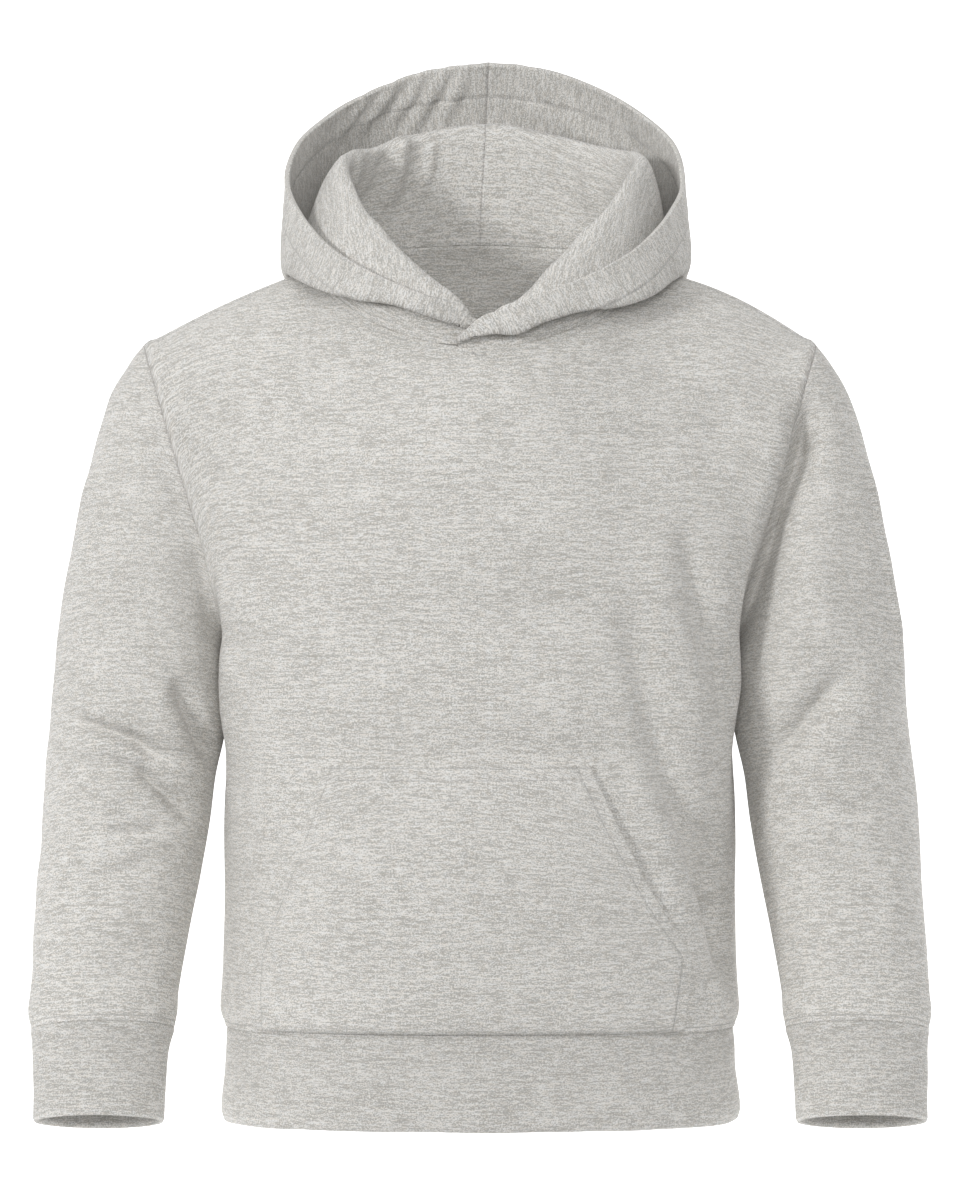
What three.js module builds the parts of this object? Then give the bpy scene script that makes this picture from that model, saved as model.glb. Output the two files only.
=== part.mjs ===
// Toddler pullover hoodie in sweatshirt fleece, filled out as if worn, with nobody in it.
// Millimetres, +Z up. The front faces -Y and the wearer's left is +X.
// Origin: the middle of the neck, where the wearer's neck and shoulders carry the garment.
//
// Every cut piece is one wall of cloth. Its middle surface is a grid of points worked out
// from the tables below; neighbouring pieces share the points of their seam, and each
// stops half a seam gap short of it.
import * as THREE from "three";

// ---------------------------------------------------------------- driving sizes
const FLEECE = 1.8; // body, sleeve, hood and pocket cloth
const BAND = 2.6; // cuffs and waistband, folded double
const HEM = 2.8; // the hood's turned hem, folded double
const SEAM_GAP = 0.3; // between two pieces at a seam
const POCKET_STAND = 3.1; // pocket's middle surface off the front's, where it is sewn
const POCKET_BELLY = 4.6; // more than that in the middle of the pocket
const BELLY_SHAPE = 2.3; // 2 is an ellipse, more is squarer
const TUCK_WIDTH = 13; // degrees of the ring over which the side is tucked in

const NECK_Y = -3; // the neck's centre
const SIDE_Y = 3; // the side seams' line
const NECK_RISE = 52; // degrees at which the body reaches the neck seam
const CROWN_RIGHT = 2.2; // the wearer's right shoulder seam rises this much over a straight line
const CROWN_LEFT = 5.6; // and the left one this much

// Armhole: an ellipse in a slanted plane.
const ARMHOLE = { x: 139, y: 3, z: -99.5, reachX: 22, reachZ: 72.5, halfDepth: 38 };

// Body rings, waistband seam to underarm: half width, depth before and behind the side
// seam, and how far the side is tucked in beside the sleeve.
const BODY = [
  { z: -353, half: 120.0, front: 82, back: 74, tuck: 0 },
  { z: -344, half: 122.2, front: 85, back: 77, tuck: 0 },
  { z: -322, half: 121.4, front: 86, back: 76, tuck: 0 },
  { z: -290, half: 120.8, front: 87, back: 75, tuck: 0 },
  { z: -255, half: 122.0, front: 87, back: 76, tuck: 1.0 },
  { z: -222, half: 125.0, front: 86, back: 78, tuck: 5.5 },
  { z: -196, half: 130.5, front: 85, back: 79, tuck: 13.2 },
  { z: -172, half: 131.0, front: 84, back: 79, tuck: 14.0 },
];

// Waistband rings below the body.
const WAISTBAND = [
  { z: -397.6, half: 121.8, front: 83, back: 75 },
  { z: -392.4, half: 123.0, front: 84.5, back: 76.5 },
  { z: -373, half: 121.2, front: 83, back: 75 },
  { z: -353, half: 120.0, front: 82, back: 74 },
];

// Neck seam, by angle from centre front (0) to centre back (180).
const NECK = [
  { angle: 0, r: 54.0, z: -30.0 },
  { angle: 11, r: 54.5, z: -29.5 },
  { angle: 24, r: 56.5, z: -27.5 },
  { angle: 38, r: 60.0, z: -23.5 },
  { angle: 52, r: 65.0, z: -17.0 },
  { angle: 65, r: 70.0, z: -8.5 },
  { angle: 78, r: 75.5, z: 1.5 },
  { angle: 90, r: 79.0, z: 10.0 },
  { angle: 105, r: 78.5, z: 15.5 },
  { angle: 120, r: 76.0, z: 19.0 },
  { angle: 135, r: 70.0, z: 21.5 },
  { angle: 150, r: 62.0, z: 23.0 },
  { angle: 165, r: 56.5, z: 24.0 },
  { angle: 180, r: 54.5, z: 24.3 },
];

// Hood sections, by the same angle: up from the neck seam to the roll, over it, down
// into the bag, round its bottom, and up to the rim of the face opening.
const HOOD = [
  { angle: -11, rollR: 56.5, rollZ: -28.0, hangR: 58.0, hangZ: -27.0, bagR: 59.3, bagZ: -26.0, rimR: 61.0, rimZ: -23.5, flat: 1 },
  { angle: 0, rollR: 57.5, rollZ: -22.0, hangR: 60.0, hangZ: -23.0, bagR: 61.5, bagZ: -24.0, rimR: 61.5, rimZ: -15.6 },
  { angle: 11, rollR: 55.5, rollZ: -8.5, hangR: 59.0, hangZ: -14.0, bagR: 63.0, bagZ: -20.5, rimR: 63.0, rimZ: -12.0 },
  { angle: 24, rollR: 56.0, rollZ: 0.5, hangR: 61.5, hangZ: -5.0, bagR: 66.0, bagZ: -13.5, rimR: 66.0, rimZ: -5.5 },
  { angle: 38, rollR: 58.0, rollZ: 12.5, hangR: 65.5, hangZ: 4.0, bagR: 71.0, bagZ: -8.5, rimR: 70.5, rimZ: 1.5 },
  { angle: 52, rollR: 61.5, rollZ: 26.0, hangR: 71.0, hangZ: 12.0, bagR: 79.0, bagZ: -6.0, rimR: 77.5, rimZ: 10.5 },
  { angle: 65, rollR: 64.5, rollZ: 38.0, hangR: 76.5, hangZ: 19.0, bagR: 86.5, bagZ: -1.5, rimR: 84.0, rimZ: 21.5 },
  { angle: 78, rollR: 67.0, rollZ: 53.0, hangR: 80.5, hangZ: 27.0, bagR: 91.0, bagZ: 4.5, rimR: 89.5, rimZ: 36.0 },
  { angle: 90, rollR: 67.5, rollZ: 61.5, hangR: 82.5, hangZ: 32.0, bagR: 93.8, bagZ: 8.0, rimR: 95.2, rimZ: 52.0 },
  { angle: 105, rollR: 66.5, rollZ: 67.0, hangR: 83.0, hangZ: 34.0, bagR: 96.0, bagZ: 3.0, rimR: 94.2, rimZ: 71.4 },
  { angle: 120, rollR: 63.5, rollZ: 70.0, hangR: 81.5, hangZ: 34.0, bagR: 99.5, bagZ: -10.0, rimR: 89.0, rimZ: 87.0 },
  { angle: 135, rollR: 59.0, rollZ: 75.0, hangR: 77.5, hangZ: 33.0, bagR: 104.0, bagZ: -31.0, rimR: 82.0, rimZ: 99.3 },
  { angle: 150, rollR: 54.5, rollZ: 79.0, hangR: 72.5, hangZ: 32.0, bagR: 106.0, bagZ: -54.0, rimR: 74.0, rimZ: 108.2 },
  { angle: 165, rollR: 52.0, rollZ: 81.5, hangR: 69.0, hangZ: 31.0, bagR: 107.0, bagZ: -70.0, rimR: 67.5, rimZ: 113.0 },
  { angle: 180, rollR: 52.0, rollZ: 82.5, hangR: 68.0, hangZ: 31.0, bagR: 107.5, bagZ: -75.0, rimR: 65.5, rimZ: 114.4 },
];
// The wearer's right hood panel passes under the left one at centre front, this far inside.
const HOOD_UNDER = [
  { angle: -11, inside: 4.4, rollR: 49.8, rollZ: -27.5, hangR: 49.6, hangZ: -26.0, bagR: 49.4, bagZ: -24.5, rimR: 49.2, rimZ: -22.0, flat: 1 },
  { angle: 0, inside: 3.2, rollR: 50.6, rollZ: -26.5, hangR: 50.6, hangZ: -24.0, bagR: 50.6, bagZ: -21.5, rimR: 50.8, rimZ: -17.2, flat: 1 },
  { angle: 11, inside: 2.6, rollR: 52.8, rollZ: -10.0, hangR: 55.3, hangZ: -14.0, bagR: 57.0, bagZ: -19.5, rimR: 57.6, rimZ: -12.8 },
];
const OVER_SAG = 5; // the upper panel's roll and bag hang this much lower in front
const HOOD_LEAN = 2.8; // the hood lies this far towards +X, away from its neck seam
const TOP_LEAN = 1.4; // and its rim's top this much more
const LEFT_ROLL = 8.5; // the wearer's left roll stands this much wider, beside the neck

// Sleeve sections, armhole to cuff: ends of the section's width in the front view
// (inner is the underarm side), its middle and half depth in Y, and its forward tilt.
const SLEEVE = [
  { innerX: 120.4, innerZ: -170.6, outerX: 167.5, outerZ: -36.0, midY: 3.5, halfDepth: 39.5, tilt: 0 },
  { innerX: 121.6, innerZ: -175.0, outerX: 177.5, outerZ: -54.0, midY: 4.5, halfDepth: 41.5, tilt: 0 },
  { innerX: 121.8, innerZ: -187.0, outerX: 188.0, outerZ: -88.0, midY: 6, halfDepth: 42.5, tilt: 0 },
  { innerX: 121.6, innerZ: -201.0, outerX: 196.0, outerZ: -125.0, midY: 7, halfDepth: 42, tilt: 0 },
  { innerX: 124.2, innerZ: -216.0, outerX: 202.0, outerZ: -163.0, midY: 7, halfDepth: 40.5, tilt: 0 },
  { innerX: 128.0, innerZ: -233.0, outerX: 205.2, outerZ: -203.0, midY: 6, halfDepth: 38.5, tilt: 1 },
  { innerX: 130.6, innerZ: -254.0, outerX: 208.4, outerZ: -240.0, midY: 3.5, halfDepth: 36, tilt: 4 },
  { innerX: 134.8, innerZ: -279.0, outerX: 210.8, outerZ: -275.0, midY: -1, halfDepth: 33, tilt: 8 },
  { innerX: 140.2, innerZ: -307.0, outerX: 212.6, outerZ: -307.0, midY: -7, halfDepth: 30, tilt: 11 },
  { innerX: 144.8, innerZ: -334.0, outerX: 213.6, outerZ: -335.0, midY: -12.5, halfDepth: 27, tilt: 13 },
  { innerX: 146.2, innerZ: -347.0, outerX: 213.8, outerZ: -348.0, midY: -15.3, halfDepth: 26, tilt: 13 },
  { innerX: 147.0, innerZ: -353.0, outerX: 213.2, outerZ: -354.0, midY: -16.6, halfDepth: 25, tilt: 13 },
];
const CUFF = [
  { innerX: 149.8, innerZ: -364.0, outerX: 212.0, outerZ: -364.5, midY: -19, halfDepth: 22.6, tilt: 13 },
  { innerX: 151.0, innerZ: -382.0, outerX: 211.8, outerZ: -382.0, midY: -23, halfDepth: 22, tilt: 13 },
  { innerX: 151.6, innerZ: -397.0, outerX: 211.6, outerZ: -397.0, midY: -26.4, halfDepth: 22, tilt: 13 },
];

// Kangaroo pocket outline on the front, waistband seam to top edge.
const POCKET = [
  { z: -351.8, left: -103.8, right: 94.0 },
  { z: -344.0, left: -104.2, right: 95.0 },
  { z: -331.0, left: -104.2, right: 96.2 },
  { z: -316.5, left: -103.4, right: 97.0 },
  { z: -300.0, left: -97.5, right: 86.5 },
  { z: -280.0, left: -90.0, right: 75.5 },
  { z: -256.0, left: -81.5, right: 63.5 },
  { z: -226.0, left: -72.0, right: 50.5 },
];
const POCKET_MOUTH = 0.4; // share of the belly that stands open at the hand openings
const POCKET_COLUMNS = 14;

// Grid steps shared by pieces that are sewn together.
const FRONT_NECK_ANGLES = [0, 11, 24, 38, 52, 65, 78, 90];
const BACK_NECK_ANGLES = [180, 165, 150, 135, 120, 105, 90];
const SHOULDER_STEPS = 4;
const ARMHOLE_STEPS = 9;
const NECK_SHARE = 0.6; // the neck's share of a front or back's half top edge

// ---------------------------------------------------------------- small functions
const rad = (d) => (d * Math.PI) / 180;
const lerp = (a, b, t) => a + (b - a) * t;
const mix = (p, q, t) => [lerp(p[0], q[0], t), lerp(p[1], q[1], t), lerp(p[2], q[2], t)];
const add = (p, q, k = 1) => [p[0] + q[0] * k, p[1] + q[1] * k, p[2] + q[2] * k];
const sub = (p, q) => add(p, q, -1);
const cross = (a, b) => [a[1] * b[2] - a[2] * b[1], a[2] * b[0] - a[0] * b[2], a[0] * b[1] - a[1] * b[0]];
const size = (a) => Math.hypot(a[0], a[1], a[2]);
const unit = (a) => add([0, 0, 0], a, 1 / (size(a) || 1));
const power = (c, n) => Math.sign(c) * Math.abs(c) ** (2 / n);
const step = (t) => (t <= 0 ? 0 : t >= 1 ? 1 : t * t * (3 - 2 * t));

// A column of a table as a smooth curve over its key column.
function read(table, key, column, at) {
  const rows = table[0][key] <= table[table.length - 1][key] ? table : [...table].reverse();
  const k = rows.map((r) => r[key]);
  const f = rows.map((r) => r[column]);
  const last = rows.length - 1;
  if (at <= k[0]) return f[0];
  if (at >= k[last]) return f[last];
  let i = 0;
  while (at > k[i + 1]) i++;
  const slope = (j) => {
    if (j === 0) return (f[1] - f[0]) / (k[1] - k[0]);
    if (j === last) return (f[last] - f[last - 1]) / (k[last] - k[last - 1]);
    return (f[j + 1] - f[j - 1]) / (k[j + 1] - k[j - 1]);
  };
  const h = k[i + 1] - k[i];
  const t = (at - k[i]) / h;
  return hermite(f[i], slope(i) * h, f[i + 1], slope(i + 1) * h, t);
}

function hermite(p, m, q, n, t) {
  const t2 = t * t;
  const t3 = t2 * t;
  return (2 * t3 - 3 * t2 + 1) * p + (t3 - 2 * t2 + t) * m + (3 * t2 - 2 * t3) * q + (t3 - t2) * n;
}

// ---------------------------------------------------------------- body form
// A point of a level ring: angle 0 is the middle of that side, 90 its side seam.
function ringPoint(row, way, angle) {
  const a = rad(angle);
  const tuck = (row.tuck || 0) * Math.exp(-(((90 - Math.abs(angle)) / TUCK_WIDTH) ** 2));
  const x = row.half * power(Math.sin(Math.abs(a)), BELLY_SHAPE) - tuck;
  const depth = (way < 0 ? row.front : row.back) * power(Math.cos(a), BELLY_SHAPE);
  return [Math.sign(angle) * x, SIDE_Y + way * depth, row.z];
}

function neckPoint(angle) {
  const a = Math.abs(angle);
  const r = read(NECK, "angle", "r", a);
  return [Math.sign(angle || 1) * r * Math.sin(rad(a)), NECK_Y - r * Math.cos(rad(a)), read(NECK, "angle", "z", a)];
}

function armholePoint(side, way, v) {
  const a = Math.PI * v;
  return [
    side * (ARMHOLE.x - ARMHOLE.reachX * Math.cos(a)),
    ARMHOLE.y + way * ARMHOLE.halfDepth * Math.sin(a),
    ARMHOLE.z - ARMHOLE.reachZ * Math.cos(a),
  ];
}

// Top edge of the front (way -1) or back (way 1), u from one shoulder tip (-1) to the other (1).
function topPoint(way, u) {
  const a = Math.abs(u);
  const side = u < 0 ? -1 : 1;
  if (a <= NECK_SHARE) {
    const part = (a / NECK_SHARE) * 90;
    const p = neckPoint(way < 0 ? part : 180 - part);
    return [side * p[0], p[1], p[2]];
  }
  const k = (a - NECK_SHARE) / (1 - NECK_SHARE);
  const p = mix(neckPoint(90), armholePoint(1, way, 1), k);
  return [side * p[0], p[1], p[2] + (side < 0 ? CROWN_RIGHT : CROWN_LEFT) * Math.sin(Math.PI * k)];
}

// A column from the underarm ring up to the top edge, s from 0 to 1. It reaches the neck
// seam rising towards the neck, and the shoulder seam level, going over it. X is unsigned.
function column(way, u, s) {
  const a = Math.abs(u);
  const low = ringPoint(BODY[BODY.length - 1], way, 90 * a);
  const [x, y, z] = topPoint(way, u);
  const top = [Math.abs(x), y, z];
  const turn = rad(Math.min(1, a / NECK_SHARE) * 90);
  const tilt = rad(NECK_RISE);
  const toNeck = [-Math.sin(turn) * Math.cos(tilt), -way * Math.cos(turn) * Math.cos(tilt), Math.sin(tilt)];
  const over = unit(mix(toNeck, [0, -way, 0.15], step((a - 0.42) / 0.26)));
  const rise = top[2] - low[2];
  return [0, 1, 2].map((k) => hermite(low[k], k === 2 ? rise : 0, top[k], over[k] * rise * 0.75, s));
}

// From the underarm ring up to the shoulders and neck, v from 0 to 1.
function yokePoint(way, u, v) {
  const a = Math.abs(u);
  const side = u < 0 ? -1 : 1;
  const s = (1 - Math.cos(Math.PI * v)) / 2;
  const edge = column(way, 1, s);
  const hole = armholePoint(1, way, v);
  const p = add(column(way, u, s), sub(hole, edge), a ** 3);
  return [side * p[0], p[1], p[2]];
}

// The point of the front panel's own grid behind a point of the front view.
function onFront(panel, x, z) {
  let i = 0;
  while (z > panel[i + 1][0][2]) i++;
  const up = (z - panel[i][0][2]) / (panel[i + 1][0][2] - panel[i][0][2]);
  const line = panel[i].map((p, j) => mix(p, panel[i + 1][j], up));
  let j = 0;
  while (x > line[j + 1][0]) j++;
  return mix(line[j], line[j + 1], (x - line[j][0]) / (line[j + 1][0] - line[j][0]));
}

// ---------------------------------------------------------------- grids of points
function halfColumns(angles, flip) {
  const neck = angles.map((a) => ((flip ? 180 - a : a) / 90) * NECK_SHARE);
  const out = [...neck];
  for (let k = 1; k <= SHOULDER_STEPS; k++) out.push(NECK_SHARE + ((1 - NECK_SHARE) * k) / SHOULDER_STEPS);
  return out;
}

function bodyGrid(way) {
  const half = halfColumns(way < 0 ? FRONT_NECK_ANGLES : BACK_NECK_ANGLES, way > 0);
  const us = [...half.slice(1).reverse().map((u) => -u), ...half];
  const rows = BODY.map((row) => us.map((u) => ringPoint(row, way, 90 * u)));
  for (let k = 1; k <= ARMHOLE_STEPS; k++) rows.push(us.map((u) => yokePoint(way, u, k / ARMHOLE_STEPS)));
  smooth(rows, BODY.length, rows.length - 2, 3);
  return rows;
}

// Eases the rows between two, leaving the edges where they are.
function smooth(rows, from, to, times) {
  for (let n = 0; n < times; n++) {
    const old = rows.map((r) => r.map((p) => [...p]));
    for (let i = from; i <= to; i++)
      for (let j = 1; j < rows[i].length - 1; j++)
        for (let k = 0; k < 3; k++) {
          const around = (old[i - 1][j][k] + old[i + 1][j][k] + old[i][j - 1][k] + old[i][j + 1][k]) / 4;
          rows[i][j][k] = lerp(old[i][j][k], around, 0.5);
        }
  }
}

function waistbandGrid(frontRow, backRow) {
  const ring = [...frontRow.slice(0, -1), ...[...backRow].reverse().slice(0, -1)];
  return WAISTBAND.map((row, i) =>
    i === WAISTBAND.length - 1
      ? ring.map((p) => [...p])
      : ring.map((p) => {
          const way = p[1] < SIDE_Y ? -1 : 1;
          const base = BODY[0];
          return [
            (p[0] * row.half) / base.half,
            SIDE_Y + ((p[1] - SIDE_Y) * (way < 0 ? row.front : row.back)) / (way < 0 ? base.front : base.back),
            row.z,
          ];
        }),
  );
}

// Section of a sleeve: turn 0 is the underarm, a half turn the outer edge, front first.
function sleevePoint(side, row, turn) {
  const a = 2 * Math.PI * turn;
  const k = (1 - Math.cos(a)) / 2;
  const depth = row.halfDepth * Math.sin(a);
  return [
    side * lerp(row.innerX, row.outerX, k),
    row.midY - depth * Math.cos(rad(row.tilt)),
    lerp(row.innerZ, row.outerZ, k) + depth * Math.sin(rad(row.tilt)),
  ];
}

function sleeveGrid(side) {
  const n = 2 * ARMHOLE_STEPS;
  const turns = Array.from({ length: n }, (_, i) => i / n);
  const first = turns.map((t) => armholePoint(side, t <= 0.5 ? -1 : 1, t <= 0.5 ? 2 * t : 2 - 2 * t));
  return [first, ...SLEEVE.map((row) => turns.map((t) => sleevePoint(side, row, t)))];
}

function cuffGrid(side, top) {
  const n = top.length;
  return [top.map((p) => [...p]), ...CUFF.map((row) => top.map((_, i) => sleevePoint(side, row, i / n)))];
}

// One hood section, from the neck seam to the rim.
function hoodSection(side, angle) {
  const under = side < 0;
  const table = under ? [...HOOD_UNDER, ...HOOD.filter((r) => r.angle > 11)] : HOOD;
  const row = table.find((r) => r.angle === angle);
  const at = angle < 0 ? -1 : 1;
  const neck = neckPoint(Math.abs(angle));
  const inside = row.inside || 0;
  const neckR = Math.hypot(neck[0], neck[1] - NECK_Y) - inside;
  const neckZ = neck[2] + (inside ? 0.8 : 0);
  const sag = under ? 0 : OVER_SAG * step((angle - 4) / 14) * (1 - step((angle - 52) / 34));
  const wider = under ? 0 : LEFT_ROLL * Math.exp(-(((angle - 108) / 26) ** 2));
  const roll = [row.rollR + wider, row.rollZ - sag * (1 - step((angle - 16) / 20))];
  const hang = [row.hangR + wider * 0.4, row.hangZ - sag];
  const bag = [row.bagR, row.bagZ - sag * 0.9];
  const rim = [row.rimR, row.rimZ];
  const start = [neckR, neckZ];
  const rise = roll[1] - start[1];
  const fold = Math.min(16, 2 + rise * 0.3);
  const drop = hang[1] - bag[1];
  const lap = Math.min(44, 4 + Math.abs(drop) * 0.45 + (rim[1] - bag[1]) * 0.12);
  const full = step((angle - 95) / 50);
  const legs = [
    { from: start, out: [-rise * 0.12, rise * 1.1], to: roll, into: [fold, rise * 0.05], cells: 4 },
    { from: roll, out: [fold, rise * 0.05], to: hang, into: [(bag[0] - roll[0]) * 0.35, -(roll[1] - bag[1]) * 0.55], cells: 3 },
    { from: hang, out: [(bag[0] - roll[0]) * 0.35, -(roll[1] - bag[1]) * 0.55], to: bag, into: [lap, 0], cells: 4 },
    { from: bag, out: [lap * (1 + full * 0.8), 0], to: rim, into: [(rim[0] - bag[0]) * 1.1 - lap * full, (rim[1] - bag[1]) * (0.95 - full * 0.25)], cells: 5 },
  ];
  const line = [start];
  for (const leg of legs)
    for (let k = 1; k <= leg.cells; k++) {
      const t = k / leg.cells;
      line.push([0, 1].map((c) => (row.flat ? lerp(leg.from[c], leg.to[c], t) : hermite(leg.from[c], leg.out[c], leg.to[c], leg.into[c], t))));
    }
  const a = rad(Math.abs(angle));
  return line.map(([r, z]) => {
    const lean = HOOD_LEAN * Math.max(step((z - neck[2]) / 60), step((r - neckR) / 22)) + TOP_LEAN * step((z - 75) / 38);
    return [side * at * r * Math.sin(a) + lean, NECK_Y - r * Math.cos(a), z];
  });
}

function hoodGrid(side) {
  const sections = HOOD.map((r) => hoodSection(side, r.angle));
  return sections[0].map((_, i) => sections.map((s) => s[i]));
}

function pocketGrid(panel) {
  const rows = [];
  const top = POCKET[POCKET.length - 1].z;
  const bottom = POCKET[0].z;
  for (const row of POCKET) {
    const up = (row.z - bottom) / (top - bottom);
    const line = [];
    for (let j = 0; j <= POCKET_COLUMNS; j++) {
      const u = (2 * j) / POCKET_COLUMNS - 1;
      const x = lerp(row.left, row.right, j / POCKET_COLUMNS);
      const z = row.z;
      const p = onFront(panel, x, z);
      const e = 6;
      const n = unit(cross(sub(onFront(panel, x + e, z), onFront(panel, x - e, z)), [0, 0, 1]));
      const mouth = POCKET_MOUTH * step((up - 0.22) / 0.16) * (1 - step((up - 0.8) / 0.2));
      const belly = Math.sin(Math.PI * up) ** 0.8 * lerp(mouth, 1, Math.cos((Math.PI / 2) * u) ** 0.7 || 0);
      line.push(add(p, n, POCKET_STAND + POCKET_BELLY * belly));
    }
    rows.push(line);
  }
  return rows;
}

// ---------------------------------------------------------------- cloth walls
// A sheet: rows of points; flip where the outside is on the grid's other side; ring where
// the columns close; seams names the edges that are sewn to another piece. With a twist the
// two halves mirror each other, and the sewn edges' end faces run with their neighbours'.
const front = bodyGrid(-1);
const back = bodyGrid(1);
const sleeves = { 1: sleeveGrid(1), "-1": sleeveGrid(-1) };
const lastRing = (grid) => grid[grid.length - 1];

const SHEETS = [
  { name: "front_panel", grid: front, flip: false, seams: { bottom: true, top: true, left: true, right: true }, wall: FLEECE, twist: 1 },
  { name: "back_panel", grid: back, flip: true, seams: { bottom: true, top: true, left: true, right: true }, wall: FLEECE, twist: -1 },
  { name: "waistband", grid: waistbandGrid(front[0], back[0]), flip: false, ring: true, seams: { top: true }, wall: BAND },
  { name: "sleeve_left", grid: sleeves[1], flip: true, ring: true, seams: { bottom: true, top: true }, wall: FLEECE },
  { name: "sleeve_right", grid: sleeves[-1], flip: false, ring: true, seams: { bottom: true, top: true }, wall: FLEECE },
  { name: "cuff_left", grid: cuffGrid(1, lastRing(sleeves[1])), flip: true, ring: true, seams: { bottom: true }, wall: BAND },
  { name: "cuff_right", grid: cuffGrid(-1, lastRing(sleeves[-1])), flip: false, ring: true, seams: { bottom: true }, wall: BAND },
  { name: "hood_left", grid: hoodGrid(1), flip: false, seams: { bottom: true, right: true }, wall: FLEECE, hem: 3 },
  { name: "hood_right", grid: hoodGrid(-1), flip: true, seams: { bottom: true, right: true }, wall: FLEECE, hem: 3 },
  { name: "kangaroo_pocket", grid: pocketGrid(front), flip: false, seams: {}, wall: FLEECE },
];

// Directions across the cloth, halfway between the pieces that meet at a seam.
const across = new Map();
const place = (p) => p.map((c) => Math.round(c * 37.3)).join(" ");
for (const { grid, flip, ring } of SHEETS) {
  const columns = grid[0].length;
  const own = new Map();
  for (let i = 0; i + 1 < grid.length; i++)
    for (let j = 0; j < (ring ? columns : columns - 1); j++) {
      const q = (j + 1) % columns;
      const [a, b, c, d] = [grid[i][j], grid[i][q], grid[i + 1][q], grid[i + 1][j]];
      const n = cross(sub(c, a), sub(d, b));
      for (const p of [a, b, c, d]) own.set(place(p), add(own.get(place(p)) || [0, 0, 0], n, flip ? -1 : 1));
    }
  for (const [key, n] of own) across.set(key, add(across.get(key) || [0, 0, 0], unit(n)));
}

function wallOf(sheet) {
  const { grid, flip, ring, seams, wall, hem, twist } = sheet;
  const rows = grid.length;
  const columns = grid[0].length;
  const point = (i, j) => {
    let p = grid[i][j];
    const shift = [];
    if (seams.bottom && i === 0) shift.push(grid[1][j]);
    if (seams.top && i === rows - 1) shift.push(grid[rows - 2][j]);
    if (seams.left && j === 0) shift.push(grid[i][1]);
    if (seams.right && j === columns - 1) shift.push(grid[i][columns - 2]);
    const n = unit(across.get(place(grid[i][j])));
    for (const q of shift) {
      const along = unit(sub(q, grid[i][j]));
      const aside = Math.sqrt(Math.max(0.16, 1 - (along[0] * n[0] + along[1] * n[1] + along[2] * n[2]) ** 2));
      p = add(p, along, (SEAM_GAP / 2 + 0.1) / aside);
    }
    return p;
  };
  const positions = [];
  for (const face of [1, -1])
    for (let i = 0; i < rows; i++)
      for (let j = 0; j < columns; j++) {
        const n = unit(across.get(place(grid[i][j])));
        const thick = hem && i > rows - 1 - hem ? HEM : wall;
        positions.push(...add(point(i, j), n, (face * thick) / 2));
      }
  const id = (face, i, j) => (face < 0 ? rows * columns : 0) + i * columns + (j % columns);
  const index = [];
  const tri = (a, b, c) => (flip ? index.push(a, c, b) : index.push(a, b, c));
  const quad = (a, b, c, d, other) => {
    if (other) tri(a, b, d), tri(b, c, d);
    else tri(a, b, c), tri(a, c, d);
  };
  const lastColumn = ring ? columns : columns - 1;
  for (let i = 0; i + 1 < rows; i++)
    for (let j = 0; j < lastColumn; j++) {
      const other = twist && j < (columns - 1) / 2;
      quad(id(1, i, j), id(1, i, j + 1), id(1, i + 1, j + 1), id(1, i + 1, j), other);
      quad(id(-1, i, j), id(-1, i + 1, j), id(-1, i + 1, j + 1), id(-1, i, j + 1), other);
    }
  for (let j = 0; j < lastColumn; j++) {
    quad(id(-1, 0, j), id(-1, 0, j + 1), id(1, 0, j + 1), id(1, 0, j));
    const e = rows - 1;
    const other = twist > 0 ? j >= (columns - 1) / 2 : twist < 0 && j < (columns - 1) / 2;
    quad(id(1, e, j), id(1, e, j + 1), id(-1, e, j + 1), id(-1, e, j), other);
  }
  if (!ring)
    for (let i = 0; i + 1 < rows; i++) {
      quad(id(1, i, 0), id(1, i + 1, 0), id(-1, i + 1, 0), id(-1, i, 0), twist > 0);
      const e = columns - 1;
      quad(id(-1, i, e), id(-1, i + 1, e), id(1, i + 1, e), id(1, i, e), twist < 0);
    }
  const geometry = new THREE.BufferGeometry();
  geometry.setAttribute("position", new THREE.Float32BufferAttribute(positions, 3));
  geometry.setIndex(index);
  geometry.computeVertexNormals();
  return geometry;
}

// ---------------------------------------------------------------- the garment
const fleece = new THREE.MeshStandardMaterial({ color: 0xcbc9c4, roughness: 0.95, metalness: 0 });
const band = new THREE.MeshStandardMaterial({ color: 0xc2c0bb, roughness: 0.95, metalness: 0 });
const hoodie = new THREE.Group();
for (const sheet of SHEETS) {
  const mesh = new THREE.Mesh(wallOf(sheet), sheet.wall === BAND ? band : fleece);
  mesh.name = sheet.name;
  hoodie.add(mesh);
}
export default hoodie;
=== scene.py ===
import math

import bpy
import numpy as np
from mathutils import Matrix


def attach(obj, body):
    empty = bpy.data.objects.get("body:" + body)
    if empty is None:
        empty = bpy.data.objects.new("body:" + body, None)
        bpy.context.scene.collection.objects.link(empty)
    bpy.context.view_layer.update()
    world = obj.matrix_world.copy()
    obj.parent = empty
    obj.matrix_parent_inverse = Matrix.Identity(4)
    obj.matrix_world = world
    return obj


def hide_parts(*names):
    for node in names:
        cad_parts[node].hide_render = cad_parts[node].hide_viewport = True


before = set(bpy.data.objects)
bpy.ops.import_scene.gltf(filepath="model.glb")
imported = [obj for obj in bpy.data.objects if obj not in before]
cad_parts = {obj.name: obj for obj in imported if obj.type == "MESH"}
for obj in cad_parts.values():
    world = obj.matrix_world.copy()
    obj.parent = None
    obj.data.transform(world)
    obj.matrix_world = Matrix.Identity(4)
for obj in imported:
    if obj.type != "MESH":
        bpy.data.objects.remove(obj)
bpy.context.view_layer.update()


# Everything below is in millimetres, in the CAD frame, until a mesh is made.

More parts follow.
